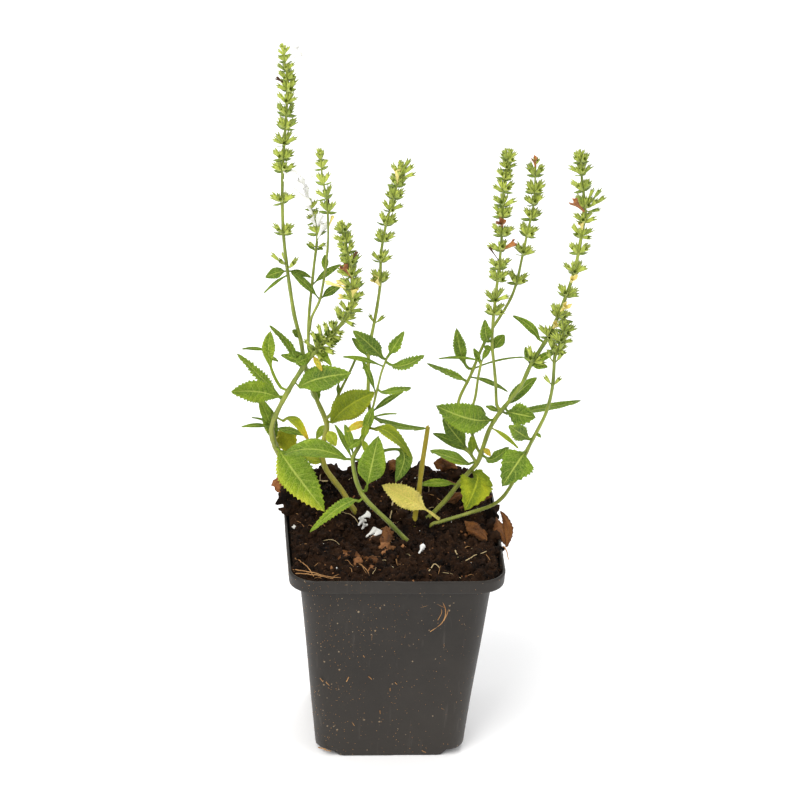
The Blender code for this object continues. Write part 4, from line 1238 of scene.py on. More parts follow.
def whorl_points(node):
    """Places, aims and sizes for a spike's calyxes, and the same for its bracts."""
    centres, radii = tubes[node]
    dice = random.Random(node)
    calyx, bracts = [], []
    count = 0
    for i in range(1, len(radii) - 1):
        if radii[i] < 1.3 * radii[i - 1] or radii[i] < 1.3 * radii[i + 1]:
            continue
        foot, top, reach = centres[i - 1], centres[i + 1], radii[i]
        axis = unit(top - foot)
        rise = np.linalg.norm(top - foot)
        side = unit(np.cross(axis, (0.0, 1.0, 0.0)))
        back = np.cross(axis, side)
        tilt = math.atan2(reach, max(rise, 2.6 * MM))
        length = min(5.4 * MM, max(2.8 * MM, 1.04 * reach / math.sin(tilt)))
        turn = WHORL_TURNS[count % len(WHORL_TURNS)]
        few = reach < 2.3 * MM or node in SPARSE_SPIKES
        for k, (round_angle, down) in enumerate(FAN):
            if few and k in (0, 3, 4, 7):
                continue
            angle = math.radians(round_angle + turn + dice.uniform(-9, 9))
            lean = tilt + math.radians(down + dice.uniform(-9, 9))
            out = side * math.cos(angle) + back * math.sin(angle)
            aim = out * math.sin(lean) + axis * math.cos(lean)
            root = foot + out * radii[i - 1] * 0.6 + axis * dice.uniform(-0.3, 0.5) * MM
            calyx.append((root, aim, length * dice.uniform(0.88, 1.08) * (0.85 if down < -20 else 1.0)))
        for angle in (math.radians(turn), math.radians(180 + turn)):
            out = side * math.cos(angle) + back * math.sin(angle)
            aim = unit(out + axis * dice.uniform(-0.15, 0.45))
            bracts.append((foot - axis * 0.5 * MM + out * radii[i - 1] * 0.5, aim, 0.72 * length))
        count += 1
    tip, end_axis = centres[-1], unit(centres[-1] - centres[-2])
    for k in range(4):
        angle = 1.57 * k + dice.uniform(-0.4, 0.4)
        aim = unit(end_axis + 0.45 * np.array([math.cos(angle), math.sin(angle), 0.0]))
        calyx.append((tip - end_axis * 1.2 * MM, aim, dice.uniform(2.6, 3.4) * MM))
    return calyx, bracts


def place_copies(name, template, spots, finish, seed, jitter=0.08, roll=0.5):
    """Copies of a template on spots of (place, aim, size)."""
    base = points_object(name + "_spots", [s[0] for s in spots], aim=[s[1] for s in spots],
                         size=[s[2] for s in spots])
    made = grow(name, base, scatter_tree, Template=template, Size_Jitter=jitter, Roll=roll, Seed=seed,
                Material=finish)
    discard(base)
    return made


# Calyxes on stalks of their own: (frame node, share of the way along it, reach in mm)
LOOSE_CALYXES = table("""
    spike_right 0.7 5.5 -3 8.1 | spike_right 0.69 7.5 -1 5 | spike_right 0.69 4.3 -4 4.7 |
    spike_right 0.68 5.9 -2 0.9 | spike_right 0.7 3 0 7.4 | stem_tall 0.94 -6.2 -2 4.9 |
    stem_tall 0.94 -3 -4 3.1 | stem_tall 0.94 -1.5 2 3.9 | stem_tall 0.93 4 -2 5.1 |
    stem_tall 0.93 2.7 -4 3.8 | stem_left 0.81 -5.9 -4 5.7 | stem_left 0.84 -4.6 -4 7.5 |
    stem_left 0.87 -3.4 -3 8.3 | stem_left 0.91 -2.9 -4 7.5 | stem_left 0.8 1.8 -5 -2.4 |
    stem_left 0.83 5.2 -4 -1.1 | stem_left 0.89 3.1 -4 -0.7 | stem_left 0.94 -2.1 -4 6.6 |
    spike_front 0.88 5.1 -2 5 | spike_front 0.9 3.7 0 5.1 | spike_front 0.88 6 -3 2 |
    stem_outer 0.86 2.5 -3 4 | stem_outer 0.86 -3.7 -2 4.4 | stem_outer 0.97 -3.6 -3 6.2 |
    stem_outer 0.97 2.6 -3 5.3 | stem_outer 1 2.8 -3 8.1 | stem_outer 1 -2.7 -3 9 |
    stem_front 0.89 -2.2 -2 3.9 | stem_front 0.89 3.7 -2 3.4 | stem_back_1 0.92 -3.2 -2 2.1 |
    stem_back_1 0.92 3.4 -2 1.7""")
loose_spots, loose_lines, loose_pairs = [], [], []
for node, share, reach in LOOSE_CALYXES:
    foot, reach = on_line(node, share), np.array(reach) * MM
    far = np.linalg.norm(reach)
    size = min(5.2 * MM, max(4.3 * MM, 0.9 * far))
    aim = unit(unit(reach) + np.array([0.0, 0.0, 0.25]))
    start = foot + reach - aim * size * 0.9
    loose_spots.append((start, aim, size))
    stalk = [foot, 0.5 * (foot + start) + np.array([0.0, 0.0, -0.06]) * far, start + aim * 0.3 * MM]
    loose_pairs += [(len(loose_lines) + i, len(loose_lines) + i + 1) for i in range(2)]
    loose_lines += stalk
CROWD = 30
for k in range(CROWD):
    foot = on_line("stem_left", 0.77 + 0.20 * k / CROWD)
    axis = unit(on_line("stem_left", 0.97) - on_line("stem_left", 0.77))
    side = unit(np.cross(axis, (0.0, 1.0, 0.0)))
    turn = 2.4 * k
    out = side * math.cos(turn) + np.cross(axis, side) * math.sin(turn)
    loose_spots.append((foot + out * 0.5 * MM, unit(out + 0.75 * axis), (4.8 + 0.6 * math.sin(5 * k)) * MM))
keep(place_copies("loose_calyxes", bell, loose_spots, calyx_skin, 90), "calyx_green")
base = points_object("stalk_lines", loose_lines, loose_pairs, thick=[0.32 * MM] * len(loose_lines),
                     age=[0.0] * len(loose_lines))
keep(grow("calyx_stalks", base, square_tree, Sides=8, Groove=0.05, Material=stem_skin), "stem_green")
discard(base)
print(len(LOOSE_CALYXES), "loose calyxes")

total, calyx_pieces = 0, {}
for number, node in enumerate(SPIKE_NODES):
    calyx_spots, bract_spots = whorl_points(node)
    calyx_pieces[node] = keep(place_copies(node + "_calyxes", bell, calyx_spots, calyx_skin, 20 + number),
                              "calyx_green", node)
    keep(place_copies(node + "_bracts", bract, bract_spots, bract_skin, 60 + number), "calyx_green")
    total += len(calyx_spots)
print(total, "calyxes on", len(SPIKE_NODES), "spikes")

# %% [markdown]
# ## Flowers and dry petals
#
# A few corollas hang on: thin white or cream lips, and older ones that have dried to rust brown or to a
# black thread. A corolla is a small sheet rolled into an open tube with a wavy lip, so each is a grid of
# points again, closed with a second face underneath.

# %% Petal sheets
# (spike, share of the way along it, reach to the tip in mm, width in mm, kind)
FLOWERS = table("""
    spike_tall 0.84 6 -2 7 3.4 white | spike_tall 0.18 8 -3 -7 3 white |
    spike_tall 0.17 11 -2 -11 3.6 white | spike_tall 0.19 12 2 -5 2.6 white |
    spike_tall 0.66 -5 -1 4 1 dark | spike_back_1 0 0 1 12 3.4 white | spike_back_1 0 4 3 6 2.8 white |
    spike_back_2 0.03 0 1 11 0.6 dark | spike_back_2 0.01 2 2 5 1.2 yellow |
    spike_left 0.32 -12 -2 5 1.2 yellow | spike_left 0.35 -7 1 3 1.4 yellow |
    spike_left 0.42 -4 -2 8 2.6 rust | spike_left 0.6 3 -1 6 1 dark | spike_front 0.01 -3 -3 5 3 yellow |
    spike_front 0.76 0 -2 9 2.4 yellow | spike_right_up 0.48 -1 -3 4 3 rust |
    spike_right_up 0.36 6 -2 5 2.2 rust | spike_right_up 0.3 -5 -2 8 0.6 dark |
    spike_right_back 0.92 -1 -1 5 2.4 rust | spike_right 0.66 -6 -3 7 2.6 rust |
    spike_right 0.21 3 -3 5 3 yellow | spike_right 0.15 2 -3 4 2.8 yellow |
    spike_right 0.34 1 -3 4 2.6 yellow | spike_right 0.55 -1 -2 5 2 yellow |
    spike_back_1 1 -4 -2 13 2.6 white | spike_back_1 0.88 -2 -2 9 2.4 white |
    spike_back_1 0.53 -4 -2 8 2.4 white | spike_back_1 0.22 -3 -2 6 2.6 white |
    spike_back_1 0 3 -2 9 2.6 white | spike_back_1 0 5 -2 -5 2.2 white |
    spike_left 0.24 1 -2 7 2.4 yellow | spike_left 0.24 -6 -2 3 1.6 yellow""")
PETAL_SKINS = {"white": petal_white, "yellow": petal_yellow, "rust": petal_rust, "dark": petal_dark}


def petal_sheet(foot, tip, width, dice, rows=14, columns=11, thick=0.10 * MM):
    """A rolled, wavy petal tube with a spread lip, as vertices and faces of a closed sheet."""
    reach = tip - foot
    axis = unit(reach)
    side = unit(np.cross(axis, (0.2, -0.8, 0.55)))
    back = np.cross(side, axis)
    phase = dice.uniform(0, 6.28, 3)
    outer = np.zeros((rows, columns, 3))
    for i in range(rows):
        t = i / (rows - 1)
        radius = 0.5 * width * (0.22 + 0.55 * t + 1.1 * max(0.0, t - 0.5))
        opening = 1.25 + 0.9 * (1 - t)
        for j in range(columns):
            s = 2 * j / (columns - 1) - 1
            angle = s * opening * 2.0
            ruffle = 1 + 0.22 * t * t * math.sin(5 * s + phase[0]) + 0.10 * t * math.sin(11 * s + phase[1])
            drop = -0.22 * width * max(0.0, t - 0.55) * math.cos(2.5 * s + phase[2])
            lobe = 1 - 0.16 * t ** 4 * abs(math.sin(2.6 * s)) ** 2
            outer[i, j] = (foot + reach * t * lobe + side * radius * ruffle * math.sin(angle)
                           + back * (radius * ruffle * math.cos(angle) + drop))
    normal = unit(np.cross(np.gradient(outer, axis=0), np.gradient(outer, axis=1)))
    inner = outer - normal * thick
    return np.vstack([outer.reshape(-1, 3), inner.reshape(-1, 3)]), sheet_faces(rows, columns)[:, FLIP]


def petal_piece(name, parts, finish):
    """Petal sheets joined into one object."""
    vertices, faces = joined(parts)
    return new_mesh_object(name, vertices.tolist(), faces.tolist(), finish)


sheets = {}
for number, (node, share, reach, width, kind) in enumerate(FLOWERS):
    foot = on_line(node, share)
    made = petal_sheet(foot, foot + np.array(reach) * MM, width * MM, np.random.RandomState(200 + number))
    sheets.setdefault(kind, []).append(made)
for kind, parts in sheets.items():
    keep(petal_piece("petals_" + kind, parts, PETAL_SKINS[kind]), "calyx_green")
print(len(FLOWERS), "corollas in", len(sheets), "pieces")

# %% [markdown]
# ## Hairs
#
# Fine white hairs make sage look soft and paler at its outlines. They are far too many to place by hand,
# so one tree scatters a three-sided hair over the skin of every stem, leaning along the face's normal.

# %% Tree: hairs on a skin
hair_tree, h_in, h_out = new_tree(
    "hairs", [("Template", "Object", None), ("Density", "Float", 3.0e5),
              ("Length", "Float", 0.7 * MM), ("Seed", "Int", 5),
              ("Material", "Material", None)])
h_points = put(hair_tree, "GeometryNodeDistributePointsOnFaces", Mesh=h_in["Geometry"], _4=h_in["Density"],
               Seed=h_in["Seed"])
h_tip = chance(hair_tree, -0.5, 0.5, h_in["Seed"])
h_lean = first(hair_tree, "FunctionNodeAxisAngleToRotation", Axis=(1.0, 0.3, 0.0), Angle=h_tip)
h_rotation = first(hair_tree, "FunctionNodeRotateRotation", {"rotation_space": "LOCAL"},
                   Rotation=h_points.outputs["Rotation"], Rotate_By=h_lean)
h_long = chance(hair_tree, 0.45, 1.0, maths(hair_tree, "ADD", h_in["Seed"], 3.0))
h_copies = copies(hair_tree, h_points.outputs["Points"], h_in["Template"], h_rotation,
                  times(hair_tree, h_long, h_in["Length"]))
close_tree(hair_tree, h_copies, h_in["Material"], h_out, smooth=False)

hair = new_mesh_object("hair_template",
                       [(-0.030, -0.017, -0.1), (0.030, -0.017, -0.1), (0.0, 0.034, -0.1), (0.05, 0.0, 1.0)],
                       [(0, 2, 1), (0, 1, 3), (1, 2, 3), (2, 0, 3)], smooth=False)
hair_count = 0
for number, node in enumerate(STEM_NODES):
    made = grow(node + "_hairs", stem_pieces[node], hair_tree, Template=hair, Density=5.5e5,
                Length=0.75 * MM, Seed=30 + number, Material=hair_skin)
    hair_count += len(made.data.vertices) // 4
    keep(made, "stem_green")
for number, node in enumerate(SPIKE_NODES):
    made = grow(node + "_hairs", calyx_pieces[node], hair_tree, Template=hair, Density=4.5e5,
                Length=0.55 * MM, Seed=60 + number, Material=hair_skin)
    hair_count += len(made.data.vertices) // 4
    keep(made, "calyx_green")
print(hair_count, "hairs")

# %% [markdown]
# ## Soil
#
# The root ball is peat pressed to the pot's shape, with a loose crumbly top heaped towards the back. The
# top is a fine grid: its height is read off the frame's solid and broken up with three sizes of noise.
# Loose crumbs, clods, fibres and chips lie on it. Crumbs, clods and chips are each one small
# template that a tree scatters evenly over the faces that look up.

# %% Height of the soil
soil_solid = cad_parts["soil"].data
soil_verts = np.array([v.co[:] for v in soil_solid.vertices])
soil_tree = BVHTree.FromPolygons([v.co for v in soil_solid.vertices],
                                 [p.vertices for p in soil_solid.polygons])
SOIL_HALF = float(np.abs(soil_verts[:, :2]).max())
SOIL_EDGE = float(soil_verts[np.abs(soil_verts[:, 0]) > SOIL_HALF - 0.2 * MM][:, 2].min())
SOIL_CORNER = 9.0 * MM


def soil_level(x, y):
    """Height of the frame's soil, read with a ray from above."""
    x, y = [max(-SOIL_HALF + 1.6 * MM, min(SOIL_HALF - 1.6 * MM, v)) for v in (x, y)]
    place = soil_tree.ray_cast(Vector((x, y, 0.2)), Vector((0, 0, -1)))[0]
    return place.z if place else SOIL_EDGE


def crumble(x, y):
    """Broken-up height in metres, from lumps down to crumbs."""
    big = noise.fractal(Vector((x * 75, y * 75, 1.7)), 0.9, 2.1, 3)
    small = noise.turbulence(Vector((x * 260, y * 260, 4.1)), 3, False, noise_basis="VORONOI_F1")
    fine = noise.noise(Vector((x * 900, y * 900, 0.3)))
    return (1.5 * big + 2.3 * (0.55 - small) + 0.35 * fine) * MM


def square_radius(angle, half, corner):
    """How far a rounded square reaches in a direction."""
    c, s = abs(math.cos(angle)), abs(math.sin(angle))
    flat = half / max(c, s)
    centre = half - corner
    x, y = flat * c, flat * s
    if x <= centre or y <= centre:
        return flat
    b = centre * (c + s)
    return b + math.sqrt(max(0.0, b * b - (2 * centre * centre - corner * corner)))


print("soil half width", round(SOIL_HALF / MM, 1), "mm, side height", round(SOIL_EDGE / MM, 1), "mm")

# %% Soil top and plug
TURNS, RINGS = 360, 96
soil_points = []
for i in range(1, RINGS + 1):
    t = i / RINGS
    for k in range(TURNS):
        angle = 2 * math.pi * k / TURNS
        reach = square_radius(angle, SOIL_HALF, SOIL_CORNER) * t
        x, y = reach * math.cos(angle), reach * math.sin(angle)
        calm = min(1.0, max(0.15, (1 - t) / 0.05))
        soil_points.append((x, y, soil_level(x, y) + crumble(x, y) * calm))
rim_ring = soil_points[-TURNS:]
plug_low = POT_LOW.z + 4.4 * MM
for depth, half in ((SOIL_EDGE - 0.2 * MM, SOIL_HALF - 5.2 * MM), (SOIL_EDGE - 3 * MM, SOIL_HALF - 6 * MM),
                    (plug_low, SOIL_HALF - 15.5 * MM)):
    for k in range(TURNS):
        angle = 2 * math.pi * k / TURNS
        reach = square_radius(angle, half, SOIL_CORNER)
        soil_points.append((reach * math.cos(angle), reach * math.sin(angle), depth))
soil_faces = []
for i in range(RINGS + 2):
    for k in range(TURNS):
        a, b = i * TURNS + k, i * TURNS + (k + 1) % TURNS
        soil_faces.append((a, a + TURNS, b + TURNS, b))
centre_top, centre_low = len(soil_points), len(soil_points) + 1
soil_points += [(0.0, 0.0, soil_level(0.0, 0.0) + crumble(0.0, 0.0)), (0.0, 0.0, plug_low)]
for k in range(TURNS):
    soil_faces.append((centre_top, k, (k + 1) % TURNS))
    last = (RINGS + 2) * TURNS
    soil_faces.append((centre_low, last + (k + 1) % TURNS, last + k))
soil_piece = keep(new_mesh_object("soil_top", soil_points, soil_faces, peat), "peat", "soil")
print("soil has", piece_sizes["soil_top"], "triangles")


# %% Crumb, chip and fibre templates
def lump_template(name, detail, rough, squash, seed):
    """A lump one unit across: a ball pushed in and out by noise."""
    bm = bmesh.new()
    bmesh.ops.create_icosphere(bm, subdivisions=detail, radius=0.5)
    for v in bm.verts:
        push = 1 + rough * noise.fractal(v.co * 2.6 + Vector((seed, 0, 0)), 0.8, 2.0, 3)
        v.co = Vector((v.co.x * push, v.co.y * push * 0.85, v.co.z * push * squash))
    mesh = bpy.data.meshes.new(name)
    bm.to_mesh(mesh)
    bm.free()
    return add_object(name, mesh)


crumb = lump_template("crumb_template", 2, 0.75, 0.8, 3.1)
clod = lump_template("clod_template", 3, 0.85, 0.75, 8.2)
grain = lump_template("grain_template", 1, 0.5, 0.7, 5.5)
print("templates:", [len(o.data.polygons) for o in (crumb, clod, grain)], "faces")

# %% Tree: crumbs over the ground
litter_tree, l_in, l_out = new_tree(
    "litter", [("Template", "Object", None), ("Density", "Float", 1.0e5),
               ("Small", "Float", 0.4 * MM), ("Large", "Float", 1.5 * MM),
               ("Flat", "Float", 0.75), ("Seed", "Int", 2),
               ("Material", "Material", None)])
l_normal = litter_tree.nodes.new("GeometryNodeInputNormal").outputs[0]
l_up = put(litter_tree, "ShaderNodeSeparateXYZ", Vector=l_normal).outputs[2]
l_top = first(litter_tree, "FunctionNodeCompare", {"operation": "GREATER_THAN"}, A=l_up, B=0.12)
l_points = put(litter_tree, "GeometryNodeDistributePointsOnFaces", Mesh=l_in["Geometry"], Selection=l_top,
               _4=l_in["Density"], Seed=l_in["Seed"])
l_turn = first(litter_tree, "FunctionNodeRandomValue", {"data_type": "FLOAT_VECTOR"},
               Max=(6.283, 6.283, 6.283), Seed=l_in["Seed"])
l_rotation = first(litter_tree, "FunctionNodeEulerToRotation", Euler=l_turn)
l_chance = chance(litter_tree, 0.0, 1.0, maths(litter_tree, "ADD", l_in["Seed"], 3.0))
l_size = maths(litter_tree, "MULTIPLY_ADD", maths(litter_tree, "POWER", l_chance, 2.4),
               maths(litter_tree, "SUBTRACT", l_in["Large"], l_in["Small"]), l_in["Small"])
l_copies = copies(litter_tree, l_points.outputs["Points"], l_in["Template"], l_rotation, l_size)
close_tree(litter_tree, l_copies, l_in["Material"], l_out)


def litter(name, base, template, density, small, large, seed, finish, slot_name="peat"):
    """Scatter lumps over a piece."""
    made = grow(name, base, litter_tree, Template=template, Density=density, Small=small * MM,
                Large=large * MM, Seed=seed, Material=finish)
    return keep(made, slot_name)


litter("soil_crumbs", soil_piece, crumb, 1.5e5, 0.7, 2.6, 41, peat)
litter("soil_clods", soil_piece, clod, 1.6e4, 1.8, 5.0, 42, peat)
litter("soil_grains", soil_piece, grain, 5.0e5, 0.25, 1.0, 43, peat_light)
litter("soil_chips", soil_piece, crumb, 6.0e3, 0.6, 2.2, 44, bark)
litter("soil_white", soil_piece, grain, 1.6e3, 0.4, 1.2, 45, perlite)
print("litter:", {name: n for name, n in piece_sizes.items() if name.startswith("soil_")})

# %% Pot profile from the frame
pot_verts = np.array([v.co[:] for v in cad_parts["pot"].data.vertices])


def half_at(level):
    """Half width of the frame's pot at a height, outside."""
    return float(np.abs(pot_verts[np.abs(pot_verts[:, 2] - level) < 0.05 * MM][:, :2]).max())


levels = np.unique(np.round(pot_verts[:, 2], 5))
FOOT_HALF, RIM_HALF = half_at(levels[0]), half_at(levels[-1])
COLLAR_LEVEL = float(min(z for z in levels if z > 0.5 * POT_HIGH.z))
BODY_HALF = half_at(COLLAR_LEVEL)
WALL = 1.15 * MM
FLOOR_TOP = POT_LOW.z + 1.2 * MM
print("foot", round(FOOT_HALF / MM, 1), "collar at", round(COLLAR_LEVEL / MM, 1), "body",
      round(BODY_HALF / MM, 1), "rim", round(RIM_HALF / MM, 1), "mm")

# %% [markdown]
# Larger pieces are placed one by one, in millimetres in the pot's own directions: white petals, a plug
# of bark, fibres, and the rust-brown clod that leans over the rim.


# %% Larger pieces on the soil
def ground(x, y, above=0.0):
    """A place on the soil, from millimetres in the pot's own directions."""
    return np.array([x * MM, y * MM, soil_level(x * MM, y * MM) + above * MM])


def set_pieces(name, template, places, finish, seed):
    """Copies of a lump at (x, y, above, size) in millimetres."""
    spots = [(ground(x, y, above), (0.3 * math.sin(x), 0.3 * math.cos(y), 1.0), size * MM)
             for x, y, above, size in places]
    return keep(place_copies(name, template, spots, finish, seed, jitter=0.05, roll=3.0), "peat")


set_pieces("perlite_bits", crumb,
           [(-5.4, -0.5, 1.2, 2.2), (-41.5, 3.4, 1, 2), (-20.1, 14.2, 1, 1.6),
            (20.4, 8, 1, 1.4), (3, -30, 0.6, 1.2), (-29.5, -9, 0.6, 1.2)], perlite, 51)
set_pieces("bark_pieces", clod,
           [(-2.3, -3, 1.5, 5), (-2.8, -8, 1.4, 5.6), (-3.2, -14, 1.3, 5.4), (-3.4, -20, 1, 4.6),
            (-8, -5.1, 1.2, 3.2), (-21, -20, 0.6, 4), (-15.7, -24.4, 0.5, 4.6), (-10.2, -30.5, 0.4, 3.4),
            (22, -6, 0.5, 3), (-31, -28, 0.4, 3), (30, -31, 0.4, 2.6)], bark, 52)
set_pieces("soil_knobs", clod,
           [(8.6, 3.9, 1, 8), (5, 8, 1, 7), (12, 9, 1, 6), (-24.8, 38, 1.2, 8),
            (-12, 40, 1.4, 8.5), (2, 41, 1.6, 9), (14, 40, 1, 8), (28, 38, 0.6, 8),
            (-36, 33, 0.6, 8.5), (38, 26, 0.4, 8), (-41.5, 17, 0.5, 7), (-38, 24, 0.4, 8),
            (42.5, 12, 0.6, 8), (43.6, 3, 0.8, 7), (44, -5, 0.8, 6), (43.6, -16, 0.8, 5.5),
            (-44.5, 21, 2.6, 8), (-44, 14, 1.6, 5)], peat, 53)
set_pieces("rust_clod", clod, [(-46.6, 27.1, 3.6, 6.4), (-44.8, 24.5, 3, 5.4), (-44, 29, 2.6, 5)],
           clod_rust, 54)
# Petals that fell on the soil: x, y, above; reach; width in mm
FALLEN = [
    (-14.2, 3, 1, (2.4, 1, 3.2), 2.6), (-12.8, 1, 1, (1.6, 0.5, 2.6), 2.2),
    (-14, 6.5, 1.6, (5, 1.5, 1.6), 2.4), (-9.6, -4.6, 0.8, (4.8, 3, 1.6), 3),
    (-11.2, -3.4, 0.8, (4.2, 3.8, 1.2), 2.6), (-7, -5, 0.8, (2.6, 3.4, 1.6), 2.4),
    (10.2, -18.4, 0.8, (1.8, 2.4, 2.4), 2.2), (12.4, -18, 0.8, (-0.6, 3.2, 1.8), 2),
]
fallen = []
for number, (x, y, above, reach, width) in enumerate(FALLEN):
    foot, dice = ground(x, y, above), np.random.RandomState(300 + number)
    fallen.append(petal_sheet(foot, foot + np.array(reach) * MM, width * MM, dice))
keep(petal_piece("fallen_petals", fallen, petal_white), "calyx_green")
print(len(FALLEN), "fallen petals")

# %% Fibres, roots and twigs
def paths(text, size):
    """Rows of a radius and the places of a path, each place of so many numbers."""
    rows = []
    for row in text.split("|"):
        radius, *numbers = [float(word) for word in row.split()]
        rows.append((radius, [tuple(numbers[i:i + size]) for i in range(0, len(numbers), size)]))
    return rows


# radius in mm, then places: x, y, above the soil in mm
THREADS = [(coir, *row) for row in paths("""
    0.3 -42 -21.6 0.8 -39.5 -28 2 -37 -34 2.4 -35 -39.5 1.6 |
    0.22 -15.8 -26.1 0.6 -13 -31 1.6 -11.4 -38.3 1 | 0.35 44.5 -13.5 1.6 46.6 -17.5 3.4 47.6 -23.5 1.2 |
    0.25 -43.2 -33 1.5 -37 -38.5 3.2 -30 -40.5 2.8 -24 -40 2 |
    0.22 -42.4 -37 2 -35 -41 3.4 -27 -41.6 2.2""", 3)]
THREADS += [(root_pale, *row) for row in paths("""
    0.3 25.7 -15 0.8 26.2 -21 1.8 27.9 -26.4 1.6 33 -22.5 2.2 39.5 -16.8 1.4 |
    0.28 13.5 -32.5 0.6 16.2 -29.2 1.6 18.8 -32.5 0.6 |
    0.25 23.6 -32 0.6 25.9 -29.4 1.4 28.5 -32.5 0.5 | 0.45 -33.7 31.7 0.6 -26 29.5 2.2 -18.9 27 1 |
    0.35 -19.6 29 0.8 -15.6 31.6 1.6 | 0.45 1.5 21.6 2.2 1 15 2.4 -0.6 7.2 0.6""", 3)]
# Fibres that stick to the front wall: radius, places x, z in mm on the wall
WALL_FIBRES = paths("""
    0.28 16.8 83 19.9 78 20.6 73 18.9 68.5 14.5 64.5 | 0.22 18 82.3 14 78.6 10.1 77 |
    0.2 10.1 80.5 14.5 79.8 20 77 | 0.2 21.2 80 21.6 75 20 70 | 0.2 17 80.5 19 75 17.5 70.5 |
    0.18 15 82 18.5 80.5 22 81.5 | 0.18 -24.6 77.6 -21 80.9 | 0.18 -19.6 79.5 -16 80.4 |
    0.14 -10.3 76.6 -10.1 73.8 | 0.13 -9.8 63 -9.9 60.2 | 0.13 4 65.6 4.1 62 |
    0.2 -31.1 40.8 -29.8 38.9 | 0.2 -28.5 38.6 -26.9 36.9 | 0.16 -26.1 42.4 -25.6 40.6 |
    0.26 -19.8 39 -18.9 41.4 | 0.15 -24.3 38.8 -23.6 37.6 | 0.22 -10.6 41.6 -9.2 40 |
    0.15 -27.6 36 -26.4 35 | 0.15 -1.3 35.4 -1.2 33.9 | 0.15 0.7 38.4 1.6 37.3 | 0.16 -5.2 23.8 -5 22 |
    0.15 -16.6 17.2 -15.8 15.9 | 0.15 -16.7 10.8 -17.2 9.2 | 0.15 -23.8 8.2 -22.6 7.4 |
    0.3 -30.9 4.6 -27.6 3.6 | 0.22 -28.4 3.4 -25.4 2.6 | 0.18 13.4 2.6 15.2 1.6 | 0.15 20.6 58 21 56 |
    0.15 -13.2 52.4 -12.6 51.4""", 2)
dice = random.Random(91)
for _ in range(70):
    x, y = dice.uniform(-40, 40), dice.uniform(-41, 38)
    turn, length = dice.uniform(0, 6.28), dice.uniform(3, 11)
    dx, dy = math.cos(turn) * length / 2, math.sin(turn) * length / 2
    bend = dice.uniform(-1.6, 1.6)
    stops = [(x - dx, y - dy, 0.2), (x - dy * bend * 0.2, y + dx * bend * 0.2, dice.uniform(0.9, 2.2)),
             (x + dx, y + dy, dice.uniform(0.1, 1.4))]
    stops = [(max(-42, min(42, a)), max(-42, min(42, b)), c) for a, b, c in stops]
    THREADS.append((dice.choice([coir, coir, root_pale]), dice.uniform(0.09, 0.17), stops))


# one plain noise per axis, read far apart: noise_vector differs from run to run
WOBBLE_SHIFTS = (0.0, 17.3, 41.9)


def thread_piece(name, finish):
    """All threads of one colour, swept with the stem tree into one piece."""
    places, pairs, thick, ages = [], [], [], []
    for colour, radius, stops in THREADS:
        if colour != finish:
            continue
        line, _ = smooth_line([ground(*stop) for stop in stops], 0.8 * MM)
        start = len(places)
        for i, place in enumerate(line):
            spot = Vector(place) * 420
            wobble = [noise.noise(spot + Vector((shift, 0.0, 0.0))) for shift in WOBBLE_SHIFTS]
            places.append(place + np.array(wobble) * 0.35 * MM)
            thick.append(radius * MM * (1 - 0.5 * i / len(line)))
            ages.append(0.0)
            if i:
                pairs.append((start + i - 1, start + i))
    base = points_object(name + "_lines", places, pairs, thick=thick, age=ages)
    made = grow(name, base, square_tree, Sides=6, Groove=0.0, Material=finish)
    discard(base)
    return keep(made, "peat")


places, pairs, thick = [], [], []
for radius, stops in WALL_FIBRES:
    wall = [np.array([x * MM, -(FOOT_HALF + (BODY_HALF - FOOT_HALF) * z * MM / COLLAR_LEVEL) + 0.15 * MM,
                      z * MM]) for x, z in stops]
    line, _ = smooth_line(wall, 0.8 * MM)
    pairs += [(len(places) + i, len(places) + i + 1) for i in range(len(line) - 1)]
    thick += [radius * MM * (1 - 0.4 * i / len(line)) for i in range(len(line))]
    places += [place + np.array([0.0, -0.3 * MM * abs(math.sin(3.0 * i)), 0.0]) * (len(stops) > 2)
               for i, place in enumerate(line)]
base = points_object("wall_fibre_lines", places, pairs, thick=thick, age=[0.0] * len(places))
keep(grow("wall_fibres", base, square_tree, Sides=6, Groove=0.0, Material=coir), "pot_plastic")
discard(base)
thread_piece("coir_fibres", coir)
thread_piece("pale_roots", root_pale)
print(len(THREADS), "fibres and roots")

# %% [markdown]
# ## Pot
#
# A square nursery pot is injection moulded in thin polypropylene: tapered walls so that pots nest, a
# stepped collar that stiffens the rim, rounded corners that open out upwards, four drain holes, and feet
# corners lifted off the ground so that the holes can drain. One closed loft of rounded squares goes from
# the underside up the outside, over the lip, and down the inside.

# %% Loft of the pot
CORNER_STEPS, SIDE_STEPS = 9, 26


def square_section(half, corner, level):
    """Places around a rounded square at a height, with many along its sides."""
    points = []
    for quarter in range(4):
        c, s = math.cos(quarter * math.pi / 2), math.sin(quarter * math.pi / 2)
        local = [(half, -half + corner + 2 * (half - corner) * i / SIDE_STEPS) for i in range(SIDE_STEPS)]
        for i in range(CORNER_STEPS):
            turn = math.pi / 2 * i / CORNER_STEPS
            local.append((half - corner + corner * math.cos(turn), half - corner + corner * math.sin(turn)))
        points += [(x * c - y * s, x * s + y * c, level) for x, y in local]
    return points


